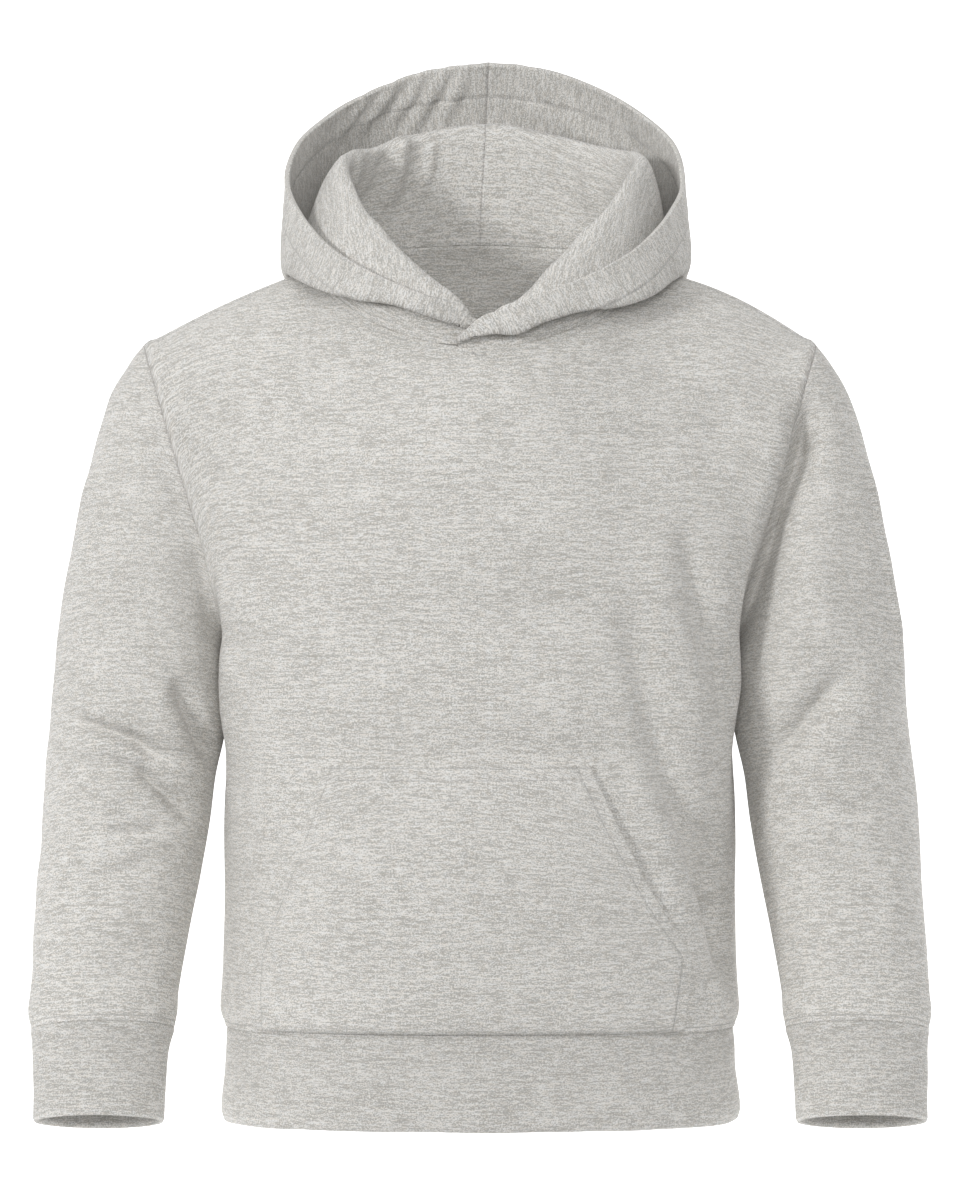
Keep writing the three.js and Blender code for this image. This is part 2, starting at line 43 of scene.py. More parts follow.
# ------------------------------------------------------------------ sizes
FLEECE = 1.8      # body, sleeve, hood and pocket cloth
BAND = 2.6        # cuffs and waistband, folded double
HEM = 2.6         # the hood's turned hem
HEM_WIDTH = 18.0  # from the hood's rim to the stitching of its hem
TWIN = 2.8        # between the two needle lines of a seam
FOLD_DEPTH = 1.5  # the folds' heights below are times this
STITCH = 2.3      # length of one stitch with its gap
THREAD = 0.2      # radius of the sewing thread
POCKET_STAND, POCKET_BELLY, POCKET_MOUTH = 3.1, 4.6, 0.4
BELLY_SHAPE, TUCK_WIDTH = 2.3, 13.0
NECK_Y, SIDE_Y = -3.0, 3.0
NECK_RISE, CROWN_RIGHT, CROWN_LEFT, NECK_SHARE = 52.0, 2.2, 5.6, 0.6
OVER_SAG, HOOD_LEAN, TOP_LEAN, LEFT_ROLL = 5.0, 2.8, 1.4, 8.5
ARMHOLE = dict(x=139.0, y=3.0, z=-99.5, reach_x=22.0, reach_z=72.5, half_depth=38.0)


def table(names, rows):
    """Named columns from rows of numbers."""
    return {n: np.array([r[i] for r in rows], float) for i, n in enumerate(names.split())}


BODY = table("z half front back tuck", [
    (-353, 120.2, 83.6, 75.6, 0), (-344, 122.2, 85.2, 77, 0), (-322, 121.4, 86, 76, 0), (-290, 120.8, 87, 75, 0),
    (-255, 122.0, 87, 76, 1.0), (-222, 125.0, 86, 78, 5.5), (-196, 130.5, 85, 79, 13.2), (-172, 131.0, 84, 79, 14.0)])
WAISTBAND = table("z half front back", [
    (-397.6, 121.8, 83, 75), (-392.4, 123.0, 84.5, 76.5), (-373, 121.2, 83.4, 75.4), (-353, 120.2, 83.4, 75.4)])
NECK = table("angle r z", [
    (0, 54, -30), (11, 54.5, -29.5), (24, 56.5, -27.5), (38, 60, -23.5), (52, 65, -17), (65, 70, -8.5), (78, 75.5, 1.5),
    (90, 79, 10), (105, 78.5, 15.5), (120, 76, 19), (135, 70, 21.5), (150, 62, 23), (165, 56.5, 24), (180, 54.5, 24.3)])
HOOD_NAMES = "angle inside roll_r roll_z hang_r hang_z bag_r bag_z rim_r rim_z flat"
HOOD_REST = [
    (24, 0, 56, 0.5, 61.5, -5, 66, -13.5, 66, -5.5, 0), (38, 0, 58, 12.5, 65.5, 4, 71, -8.5, 70.5, 1.5, 0),
    (52, 0, 61.5, 26, 71, 12, 79, -6, 77.5, 10.5, 0), (65, 0, 64.5, 38, 76.5, 19, 86.5, -1.5, 84, 21.5, 0),
    (78, 0, 67, 53, 80.5, 27, 91, 4.5, 89.5, 36, 0), (90, 0, 67.5, 61.5, 82.5, 32, 93.8, 8, 95.2, 52, 0),
    (105, 0, 66.5, 67, 83, 34, 96, 3, 94.2, 71.4, 0), (120, 0, 63.5, 70, 81.5, 34, 99.5, -10, 89, 87, 0),
    (135, 0, 59, 75, 77.5, 33, 104, -31, 82, 99.3, 0), (150, 0, 54.5, 79, 72.5, 32, 106, -54, 74, 108.2, 0),
    (165, 0, 52, 81.5, 69, 31, 107, -70, 67.5, 113, 0), (180, 0, 52, 82.5, 68, 31, 107.5, -75, 65.5, 114.4, 0)]
HOOD_OVER = table(HOOD_NAMES, [
    (-11, 0, 56.5, -28.4, 58, -27.8, 59.3, -27.2, 60.6, -26.0, 1), (0, 0, 57.5, -22, 60, -23, 61.5, -24, 61.5, -15.6, 0),
    (11, 0, 55.5, -8.5, 59, -14, 63, -20.5, 63, -12, 0)] + HOOD_REST)
HOOD_UNDER = table(HOOD_NAMES, [
    (-11, 4.4, 49.8, -27.5, 49.6, -26, 49.4, -24.5, 49.2, -22, 1), (0, 3.2, 50.6, -26.5, 50.6, -24, 50.6, -21.5, 50.8, -17.2, 1),
    (11, 2.6, 52.8, -10, 55.3, -14, 57, -19.5, 57.6, -12.8, 0)] + HOOD_REST)
HOOD_CELLS = (4, 3, 4, 5)  # rows of each leg: neck to roll, to hang, to bag, to rim
TUBE = table("inner_x inner_z outer_x outer_z mid_y half_depth tilt", [
    (117.0, -172.0, 161.0, -27.0, 3.0, 38.0, 0),  # the armhole
    (120.4, -170.6, 167.5, -36.0, 3.5, 39.5, 0), (121.6, -175.0, 177.5, -54.0, 4.5, 41.5, 0),
    (121.8, -187.0, 188.0, -88.0, 6, 42.5, 0), (121.6, -201.0, 196.0, -125.0, 7, 42, 0),
    (124.2, -216.0, 202.0, -163.0, 7, 40.5, 0), (128.0, -233.0, 205.2, -203.0, 6, 38.5, 1),
    (130.6, -254.0, 208.4, -240.0, 3.5, 36, 4), (134.8, -279.0, 210.8, -275.0, -1, 33, 8),
    (140.2, -307.0, 212.6, -307.0, -7, 30, 11), (144.8, -334.0, 213.6, -335.0, -12.5, 27, 13),
    (146.2, -347.0, 213.8, -348.0, -15.3, 26, 13), (147.0, -353.0, 213.2, -354.0, -16.6, 25, 13),
    (149.8, -364.0, 212.0, -364.5, -19, 22.6, 13), (151.0, -382.0, 211.8, -382.0, -23, 22, 13),
    (151.6, -397.0, 211.6, -397.0, -26.4, 22, 13)])
TUBE["row"] = np.arange(16.0)
WRIST = 12.0  # row of the seam between sleeve and cuff
POCKET = table("z left right", [
    (-351.8, -103.8, 94.0), (-344, -104.2, 95.0), (-331, -104.2, 96.2), (-316.5, -103.4, 97.0),
    (-300, -97.5, 86.5), (-280, -90.0, 75.5), (-256, -81.5, 63.5), (-226, -72.0, 50.5)])

# Folds and creases seen from the front or back: which pieces, the side they show on, half
# width, height (below 0 a trough), lean (one bank up, the other down), and their line.
# Points are X and Z. Ends fade out, also those whose text says "open".
FOLDS = [
    # body front, wearer's left
    ("front_panel", "front", 8.0, -3.2, -1.6, "", [(92, -104), (95, -119), (100, -151), (108, -177), (117, -206), (121, -222)]),
    ("front_panel", "front", 9.0, 1.6, 0.0, "", [(80, -110), (84, -142), (92, -176), (103, -206), (112, -232)]),
    ("front_panel", "front", 9.0, -3.2, -1.4, "", [(64, -138), (67, -151), (72, -176), (80, -210), (87, -236), (96, -266)]),
    ("front_panel", "front", 7.0, -4.2, -2.8, "", [(84, -228), (91, -248), (99, -268), (107, -292), (114, -322), (120, -344)]),
    ("front_panel", "front", 9.0, 2.8, 0.0, "", [(68, -216), (77, -242), (86, -268), (95, -300), (101, -334)]),
    ("front_panel", "front", 8.0, -5.2, -2.4, "", [(104, -246), (109, -268), (113, -292), (116, -318)]),
    ("front_panel", "front", 7.0, 1.8, 0.0, "", [(106, -330), (114, -341), (120, -345)]),
    ("front_panel", "front", 12.0, -1.2, 0.0, "", [(34, -52), (58, -76), (86, -92)]),
    ("front_panel", "front", 10.0, -1.2, 0.0, "", [(118, -44), (112, -66), (104, -92)]),
    # body front, wearer's right
    ("front_panel", "front", 7.0, -1.2, 0.6, "", [(-112, -150), (-107, -190), (-112, -226)]),
    ("front_panel", "front", 10.0, 1.2, 0.0, "", [(-98, -150), (-95, -210), (-101, -268)]),
    ("front_panel", "front", 7.0, -1.0, 0.0, "", [(-114, -262), (-109, -296), (-112, -330)]),
    ("front_panel", "front", 11.0, -1.0, 0.0, "", [(-36, -62), (-62, -86), (-92, -100)]),
    ("front_panel", "front", 2.4, -0.8, 0.4, "", [(-144, -70), (-132, -81), (-121, -91), (-112, -97)]),
    ("front_panel", "front", 9.0, -1.3, 0.0, "", [(-136, -48), (-126, -62), (-116, -74)]),
    # soft drape across the chest
    ("front_panel", "front", 16.0, -1.0, 0.0, "", [(-70, -130), (-20, -150), (35, -152), (80, -136)]),
    ("front_panel", "front", 18.0, 1.0, 0.0, "", [(-80, -180), (-20, -196), (40, -198), (90, -184)]),
    ("front_panel", "front", 14.0, -0.9, 0.0, "", [(-60, -54), (-10, -66), (44, -58)]),
    # the blousing above the waistband, in short swells
    ("front_panel", "front", 8.0, 1.0, 0.0, "", [(-112, -338), (-90, -342), (-66, -339)]),
    ("front_panel", "front", 6.0, -0.8, 0.0, "", [(-70, -346), (-44, -343), (-22, -347)]),
    ("front_panel", "front", 8.0, 0.9, 0.0, "", [(-40, -338), (-8, -341), (22, -338)]),
    ("front_panel", "front", 7.0, 1.1, 0.0, "", [(40, -341), (66, -339), (92, -336)]),
    # body back
    ("back_panel", "back", 9.0, -2.2, 1.2, "", [(-92, -140), (-98, -186), (-110, -230), (-118, -268)]),
    ("back_panel", "back", 8.0, -2.4, -1.2, "", [(84, -150), (92, -200), (104, -246), (113, -292)]),
    ("back_panel", "back", 12.0, 1.9, 0.0, "", [(70, -170), (78, -220), (90, -272)]),
    ("back_panel", "back", 12.0, 1.7, 0.0, "", [(-76, -160), (-82, -210), (-94, -262)]),
    ("back_panel", "back", 14.0, -1.8, 0.0, "", [(-60, -96), (-10, -110), (52, -98)]),
    ("back_panel", "back", 16.0, 1.5, 0.0, "", [(-84, -290), (-20, -304), (62, -296)]),
    ("back_panel", "back", 9.0, -1.7, 0.0, "", [(-98, -318), (-40, -328), (18, -322)]),
    ("back_panel", "back", 8.0, 1.5, 0.0, "", [(-70, -338), (-10, -342), (60, -338), (100, -340)]),
    # wearer's right sleeve, at the left of the photo
    ("sleeve_right", "front", 5.0, -5.0, 2.4, "", [(-202, -199), (-191, -205), (-175, -211), (-162, -215), (-154, -220), (-142, -227)]),
    ("sleeve_right", "front", 5.0, 3.4, 0.0, "", [(-192, -211), (-172, -220), (-156, -231)]),
    ("sleeve_right", "front", 4.2, -4.2, 2.0, "", [(-182, -217), (-165, -226), (-156, -233), (-146, -242), (-138, -250), (-130, -255)]),
    ("sleeve_right", "front", 3.4, -1.6, 0.6, "", [(-180, -260), (-162, -257.6), (-148, -257)]),
    ("sleeve_right", "front", 5.0, -4.6, -2.2, "", [(-150, -184), (-145, -194), (-139, -205), (-133, -219), (-128, -232)]),
    ("sleeve_right", "front", 6.0, 1.8, 0.0, "", [(-156, -186), (-150, -206), (-141, -224)]),
    ("sleeve_right", "front", 3.6, -1.5, 0.5, "", [(-206, -217), (-189, -226), (-172, -232)]),
    ("sleeve_right", "front", 7.0, 1.5, 0.0, "", [(-206, -236), (-186, -246), (-166, -250)]),
    ("sleeve_right", "front", 5.0, -1.2, 0.4, "", [(-150, -268), (-162, -276), (-180, -282), (-198, -280)]),
    ("sleeve_right", "front", 9.0, 1.4, 0.0, "", [(-204, -300), (-180, -306), (-158, -300)]),
    ("sleeve_right", "front", 6.0, -1.0, 0.0, "", [(-200, -326), (-182, -330), (-162, -328)]),
    ("sleeve_right", "front", 5.0, -1.5, 0.0, "", [(-166, -50), (-160, -56), (-153, -61)]),
    ("sleeve_right", "front", 6.0, -1.2, 0.3, "", [(-150, -72), (-143, -96), (-139, -118)]),
    ("sleeve_right", "front", 9.0, 1.4, 0.0, "", [(-186, -80), (-190, -110), (-188, -146)]),
    ("sleeve_right", "front", 8.0, -1.3, 0.0, "", [(-166, -120), (-160, -150), (-150, -178)]),
    # wearer's left sleeve
    ("sleeve_left", "front", 7.0, -4.0, 2.2, "", [(180, -178), (164, -198), (149, -216), (132, -236)]),
    ("sleeve_left", "front", 8.0, 1.9, 0.0, "", [(194, -186), (178, -206), (160, -226)]),
    ("sleeve_left", "front", 3.4, -1.5, 0.5, "", [(162, -241), (175.8, -247.6), (188, -254)]),
    ("sleeve_left", "front", 3.4, -1.2, 0.4, "", [(170, -285), (183, -291), (196, -297)]),
    ("sleeve_left", "front", 5.0, 1.4, 0.0, "", [(158, -252), (174, -258), (190, -262)]),
    ("sleeve_left", "front", 1.5, 1.5, 0.8, "", [(178, -62), (182, -76.5), (186.7, -98.4), (191, -123), (195.8, -149), (200.2, -175), (203, -200)]),
    ("sleeve_left", "front", 6.0, -1.2, 0.0, "", [(170, -80), (176, -110), (181, -140)]),
    ("sleeve_left", "front", 8.0, 1.4, 0.0, "", [(152, -100), (158, -130), (164, -160), (166, -184)]),
    ("sleeve_left", "front", 9.0, -1.2, 0.0, "", [(202, -268), (180, -276), (158, -270)]),
    ("sleeve_left", "front", 9.0, 1.3, 0.0, "", [(206, -306), (184, -312), (160, -306)]),
    ("sleeve_left", "front", 6.0, -1.0, 0.0, "", [(204, -330), (186, -334), (166, -330)]),
    # the sleeves' backs
    ("sleeve_right", "back", 6.0, -2.8, 0.8, "", [(-192, -212), (-172, -222), (-150, -226), (-134, -236)]),
    ("sleeve_right", "back", 7.0, 1.9, 0.0, "", [(-196, -226), (-172, -238), (-146, -246)]),
    ("sleeve_right", "back", 6.0, -1.8, 0.6, "", [(-188, -96), (-178, -130), (-164, -164)]),
    ("sleeve_right", "back", 8.0, 1.5, 0.0, "", [(-170, -84), (-160, -120), (-148, -156)]),
    ("sleeve_right", "back", 7.0, -1.4, 0.0, "", [(-200, -284), (-178, -292), (-156, -288)]),
    ("sleeve_left", "back", 6.5, -2.8, 0.8, "", [(196, -200), (176, -214), (154, -222), (136, -230)]),
    ("sleeve_left", "back", 7.0, 1.9, 0.0, "", [(200, -220), (176, -234), (150, -240)]),
    ("sleeve_left", "back", 6.0, -1.7, 0.6, "", [(184, -90), (176, -122), (160, -156)]),
    ("sleeve_left", "back", 8.0, 1.5, 0.0, "", [(168, -90), (160, -122), (146, -150)]),
    ("sleeve_left", "back", 7.0, -1.4, 0.0, "", [(204, -276), (182, -286), (156, -282)]),
]

# Cloth standing up or lying in beside a seam: piece, edge, side it shows on, peak's
# distance from the seam, height, and the heights Z between which it comes and goes.
BESIDE = [
    ("front_panel", "right", "front", 9.0, 3.0, -206, -50),
    ("front_panel", "left", "front", 5.0, 1.0, -200, -90), ("sleeve_right", "bottom", "front", 7.0, -2.2, -205, -110),
    ("back_panel", "right", "back", 6.0, 1.8, -200, -60), ("sleeve_left", "bottom", "back", 7.0, -2.4, -205, -60),
    ("back_panel", "left", "back", 6.0, 1.6, -200, -60), ("sleeve_right", "bottom", "back", 7.0, -2.2, -205, -70),
]

# The valley of the wearer's left armhole in front: how far back its seam lies, how far out
# from the seam the body and the sleeve come forward again, and the sleeve's deeper dip.
VALLEY = dict(deep=11.0, body=5.0, sleeve=40.0, dip=0.95, dip_at=8.0, dip_width=8.0, top=-40.0, fade=36.0)

# Creases of the hood, in its own sizes: which panel, degrees round the neck (x) and rows up
# the section (y, 0 at the neck seam, 16 at the rim), half width, height and lean in mm.
HOOD_FOLDS = [
    ("hood_right", 5.5, -4.2, -2.2, [(136, 0.9), (137, 2.0), (136, 3.2), (138, 4.2)]),
    ("hood_right", 5.0, -3.0, -1.6, [(112, 0.8), (109, 1.8), (107, 2.8), (110, 3.8)]),
    ("hood_right", 6.0, 1.6, 0.0, [(124, 0.9), (123, 2.2), (124, 3.6)]),
    ("hood_left", 5.0, -2.2, 1.2, [(128, 1.0), (127, 2.2), (129, 3.4)]),
    ("hood_right", 3.0, -1.8, 1.2, [(148, 1.2), (150, 2.2), (149, 3.4)]),
    ("hood_right", 3.6, -1.5, 0.9, [(122, 1.6), (120, 2.6), (122, 3.8)]),
    ("hood_right", 5.0, 0.8, 0.0, [(136, 1.0), (135, 2.4), (134, 3.8)]),
    ("hood_left", 3.0, -0.7, 0.3, [(118, 1.8), (116, 2.6), (118, 3.4)]),
    ("hood_left", 5.0, -0.7, 0.3, [(150, 1.0), (153, 2.2), (150, 3.6)]),
    ("hood_right", 2.4, -1.9, 1.4, [(172, 15.9), (168, 15.5), (163, 15.1)]),
    ("hood_right", 2.6, -2.1, 1.5, [(164, 15.9), (159, 15.5), (153, 15.0)]),
    ("hood_right", 2.4, -1.8, 1.3, [(155, 15.9), (151, 15.5), (146, 15.2)]),
    ("hood_right", 2.6, -1.9, 1.3, [(146, 15.9), (141, 15.5), (136, 15.1)]),
    ("hood_right", 2.4, -1.5, 1.0, [(136, 15.9), (132, 15.5), (127, 15.1)]),
    ("hood_left", 2.0, -1.2, 0.9, [(172, 15.4), (162, 15.3), (150, 15.1), (140, 14.8)]),
    ("hood_left", 2.2, -1.2, 0.8, [(168, 15.9), (158, 15.6), (148, 15.2)]),
    ("hood_left", 2.2, -0.8, 0.4, [(138, 15.4), (133, 14.9), (128, 14.4)]),
    ("hood_left", 9.0, -1.6, 0.8, [(96, 8.0), (102, 9.4), (106, 11.0)]),
    ("hood_left", 9.0, -1.7, 0.8, [(128, 8.0), (132, 9.8), (134, 12.0)]),
    ("hood_left", 10.0, 1.5, 0.0, [(116, 8.0), (119, 10.0), (120, 12.4)]),
    ("hood_left", 9.0, -1.5, 0.5, [(160, 8.4), (162, 10.4), (160, 12.6)]),
    ("hood_right", 9.0, -1.6, 0.8, [(92, 8.0), (98, 9.4), (103, 11.0)]),
    ("hood_right", 9.0, -1.7, 0.8, [(124, 8.0), (129, 9.8), (132, 12.0)]),
    ("hood_right", 10.0, 1.5, 0.0, [(112, 8.0), (115, 10.0), (117, 12.4)]),
    ("hood_right", 9.0, -1.4, 0.5, [(156, 8.4), (158, 10.4), (157, 12.6)]),
    ("hood_left", 5.0, -0.8, 0.6, [(40, 2.0), (46, 3.4), (54, 4.6)]),
    ("hood_right", 5.0, -0.8, 0.6, [(44, 2.0), (50, 3.4), (58, 4.6)]),
    ("hood_left", 6.0, 0.7, 0.0, [(62, 4.4), (74, 5.6), (84, 6.6)]),
    ("hood_right", 6.0, 0.7, 0.0, [(60, 4.4), (72, 5.6), (84, 6.6)]),
]


# ------------------------------------------------------------------ small functions
def step(t):
    t = np.clip(t, 0.0, 1.0)
    return t * t * (3 - 2 * t)


def hermite(p, m, q, n, t):
    t2, t3 = t * t, t * t * t
    return (2 * t3 - 3 * t2 + 1) * p + (t3 - 2 * t2 + t) * m + (3 * t2 - 2 * t3) * q + (t3 - t2) * n


def read(tab, key, column, at):
    """A column of a table as a smooth curve over its key column."""
    order = np.argsort(tab[key])
    k, f = tab[key][order], tab[column][order]
    slope = np.empty_like(f)
    slope[0], slope[-1] = (f[1] - f[0]) / (k[1] - k[0]), (f[-1] - f[-2]) / (k[-1] - k[-2])
    slope[1:-1] = (f[2:] - f[:-2]) / (k[2:] - k[:-2])
    at = np.clip(np.asarray(at, float), k[0], k[-1])
    i = np.clip(np.searchsorted(k, at, side="right") - 1, 0, len(k) - 2)
    h = k[i + 1] - k[i]
    return hermite(f[i], slope[i] * h, f[i + 1], slope[i + 1] * h, (at - k[i]) / h)


def power(c, n):
    return np.sign(c) * np.abs(c) ** (2 / n)


def unit(v):
    return v / np.maximum(np.linalg.norm(v, axis=-1, keepdims=True), 1e-9)


def stack(x, y, z):
    x, y, z = np.broadcast_arrays(x, y, z)
    return np.stack([x, y, z], axis=-1).astype(float)


def bell(d, width):
    return np.exp(-((d / width) ** 2))


# ------------------------------------------------------------------ the garment's form
def ring_points(way, z, u, tab=BODY):
    """Level rings: z down the rows, u from -1 to 1 across the columns."""
    z, u = np.asarray(z, float)[:, None], np.asarray(u, float)[None, :]
    angle = 90 * np.abs(u)
    tuck = read(tab, "z", "tuck", z) if "tuck" in tab else 0 * z
    tuck = tuck * bell(90 - angle, TUCK_WIDTH)
    x = read(tab, "z", "half", z) * power(np.sin(np.radians(angle)), BELLY_SHAPE) - tuck
    depth = read(tab, "z", "front" if way < 0 else "back", z) * power(np.maximum(np.cos(np.radians(angle)), 0), BELLY_SHAPE)
    return stack(np.sign(u) * x, SIDE_Y + way * depth, z)


def neck_points(angle):
    a = np.abs(np.asarray(angle, float))
    r = read(NECK, "angle", "r", a)
    return stack(r * np.sin(np.radians(a)), NECK_Y - r * np.cos(np.radians(a)), read(NECK, "angle", "z", a))


def armhole_points(way, v):
    a = np.pi * np.asarray(v, float)
    return stack(
        ARMHOLE["x"] - ARMHOLE["reach_x"] * np.cos(a),
        ARMHOLE["y"] + way * ARMHOLE["half_depth"] * np.sin(a),
        ARMHOLE["z"] - ARMHOLE["reach_z"] * np.cos(a))


def top_points(way, a, crown):
    """Top edge of a front or back, a from 0 at its middle to 1 at the shoulder's tip."""
    part = np.minimum(a / NECK_SHARE, 1) * 90
    on_neck = neck_points(part if way < 0 else 180 - part)
    k = np.clip((a - NECK_SHARE) / (1 - NECK_SHARE), 0, 1)
    low, tip = neck_points(90.0), armhole_points(way, 1.0)
    on_shoulder = low + (tip - low) * k[:, None]
    on_shoulder[:, 2] += crown * np.sin(np.pi * k)
    return np.where((a <= NECK_SHARE)[:, None], on_neck, on_shoulder)


def columns_up(way, a, s, crown):
    """Points up each column from the underarm ring to the top edge."""
    low = ring_points(way, [BODY["z"][-1]], a)[0]
    top = top_points(way, a, crown)
    turn = np.radians(np.minimum(1, a / NECK_SHARE) * 90)
    tilt = np.radians(NECK_RISE)
    to_neck = stack(-np.sin(turn) * np.cos(tilt), -way * np.cos(turn) * np.cos(tilt), np.sin(tilt))
    blend = step((a - 0.42) / 0.26)[:, None]
    over = unit(to_neck * (1 - blend) + np.array([0, -way, 0.15]) * blend)
    rise = (top[:, 2] - low[:, 2])[:, None]
    up = rise * np.array([[0, 0, 1.0]])
    t = s[:, None, None]
    return hermite(low[None], up[None], top[None], (over * rise * 0.75)[None], t)


def ease(p, first, last, rows_rate, columns_rate, times):
    """Eases the rows between two, leaving the edges where they are."""
    for _ in range(times):
        mid = p[first : last + 1, 1:-1]
        p[first : last + 1, 1:-1] = (
            mid
            + rows_rate * (p[first - 1 : last, 1:-1] + p[first + 1 : last + 2, 1:-1] - 2 * mid)
            + columns_rate * (p[first : last + 1, :-2] + p[first : last + 1, 2:] - 2 * mid))


def spread(knots, cells):
    """Each step between knots cut into the same number of cells."""
    knots = np.asarray(knots, float)
    t = np.arange(cells) / cells
    return np.append((knots[:-1, None] + (knots[1:] - knots[:-1])[:, None] * t).ravel(), knots[-1])


FRONT_ANGLES = (0, 11, 24, 38, 52, 65, 78, 90)
BACK_ANGLES = (0, 15, 30, 45, 60, 75, 90)  # from centre back
ROW_CUT, FRONT_CUT, BACK_CUT = 9, 7, 8


def body_rows_below():
    """Heights of the level rows, close together beside the waistband seam."""
    bottom, top = BODY["z"][0], BODY["z"][-1]
    return np.concatenate([np.linspace(bottom, bottom + 7.2, 13), np.linspace(bottom + 9, top, 78)])


def body_grid(way):
    angles, cut = (FRONT_ANGLES, FRONT_CUT) if way < 0 else (BACK_ANGLES, BACK_CUT)
    knots = [NECK_SHARE * a / 90 for a in angles] + [NECK_SHARE + (1 - NECK_SHARE) * k / 4 for k in (1, 2, 3, 4)]
    half = spread(knots, cut)
    u = np.concatenate([-half[:0:-1], half])
    low = body_rows_below()
    below = ring_points(way, low, u)
    v = np.arange(1, 9 * ROW_CUT + 1) / (9 * ROW_CUT)
    s = (1 - np.cos(np.pi * v)) / 2
    hole = armhole_points(way, v)
    yoke, other = (
        column + (hole - column[:, -1])[:, None, :] * (half**3)[None, :, None]
        for column in (columns_up(way, half, s, crown) for crown in (CROWN_LEFT, CROWN_RIGHT)))
    other = other[:, :0:-1].copy()
    other[..., 0] *= -1
    p = np.concatenate([below, np.concatenate([other, yoke], axis=1)])
    first = len(low)
    rate = 0.22
    times = int(round(0.375 * ROW_CUT**2 / rate))
    ease(p, first, len(p) - 2, rate, 0.375 * cut**2 / times, times)
    ease(p, first - 7, first + 8, 0.2, 0.05, 30)
    return p


def tube_points(side, rows, turns):
    rows = np.asarray(rows, float)[:, None]
    a = 2 * np.pi * np.asarray(turns, float)[None, :]
    get = {n: read(TUBE, "row", n, rows) for n in TUBE if n != "row"}
    k = (1 - np.cos(a)) / 2
    depth = get["half_depth"] * np.sin(a)
    tilt = np.radians(get["tilt"])
    return stack(
        side * (get["inner_x"] + (get["outer_x"] - get["inner_x"]) * k),
        get["mid_y"] - depth * np.cos(tilt),
        get["inner_z"] + (get["outer_z"] - get["inner_z"]) * k + depth * np.sin(tilt))


def even_rows(make, first, last, spacing):
    """Row numbers from first to last, evenly spaced along the middle of the cloth."""
    fine = np.linspace(first, last, 400)
    p = make(fine)
    long = np.linalg.norm(np.diff(p, axis=0), axis=2).max(axis=1)
    along = np.concatenate([[0], np.cumsum(long)])
    n = max(4, int(round(along[-1] / spacing)))
    return np.interp(np.linspace(0, along[-1], n + 1), along, fine)


def denser(rows, first, last, parts=3):
    """The first and last few steps cut finer, for the relief beside an edge."""
    n = len(rows) - 1
    out = []
    for i, (a, b) in enumerate(zip(rows[:-1], rows[1:])):
        cut = parts if i < first or i >= n - last else 1
        out += [a + (b - a) * k / cut for k in range(cut)]
    return np.array(out + [rows[-1]])


SPACING = 2.2


def sleeve_grid(side):
    turns = np.linspace(0, 1, 151)
    rows = denser(even_rows(lambda r: tube_points(side, r, turns), 0, WRIST, SPACING), 0, 4)
    return tube_points(side, rows, turns)


def cuff_grid(side):
    turns = np.linspace(0, 1, 121)
    rows = even_rows(lambda r: tube_points(side, r, turns), WRIST, 15, 1.6)
    return tube_points(side, rows, turns)[::-1]  # from the opening up


def waistband_grid():
    n = 161
    u = np.sin(np.linspace(-1, 1, n) * np.pi / 2 * 0.86) / np.sin(np.pi / 2 * 0.86)
    low, high = WAISTBAND["z"][0], WAISTBAND["z"][-1]
    z = np.concatenate([np.linspace(low, low + 8, 9), np.linspace(low + 10, high, 19)])
    front, back = ring_points(-1, z, u, WAISTBAND), ring_points(1, z, u[::-1], WAISTBAND)
    return np.concatenate([front, back[:, 1:]], axis=1)


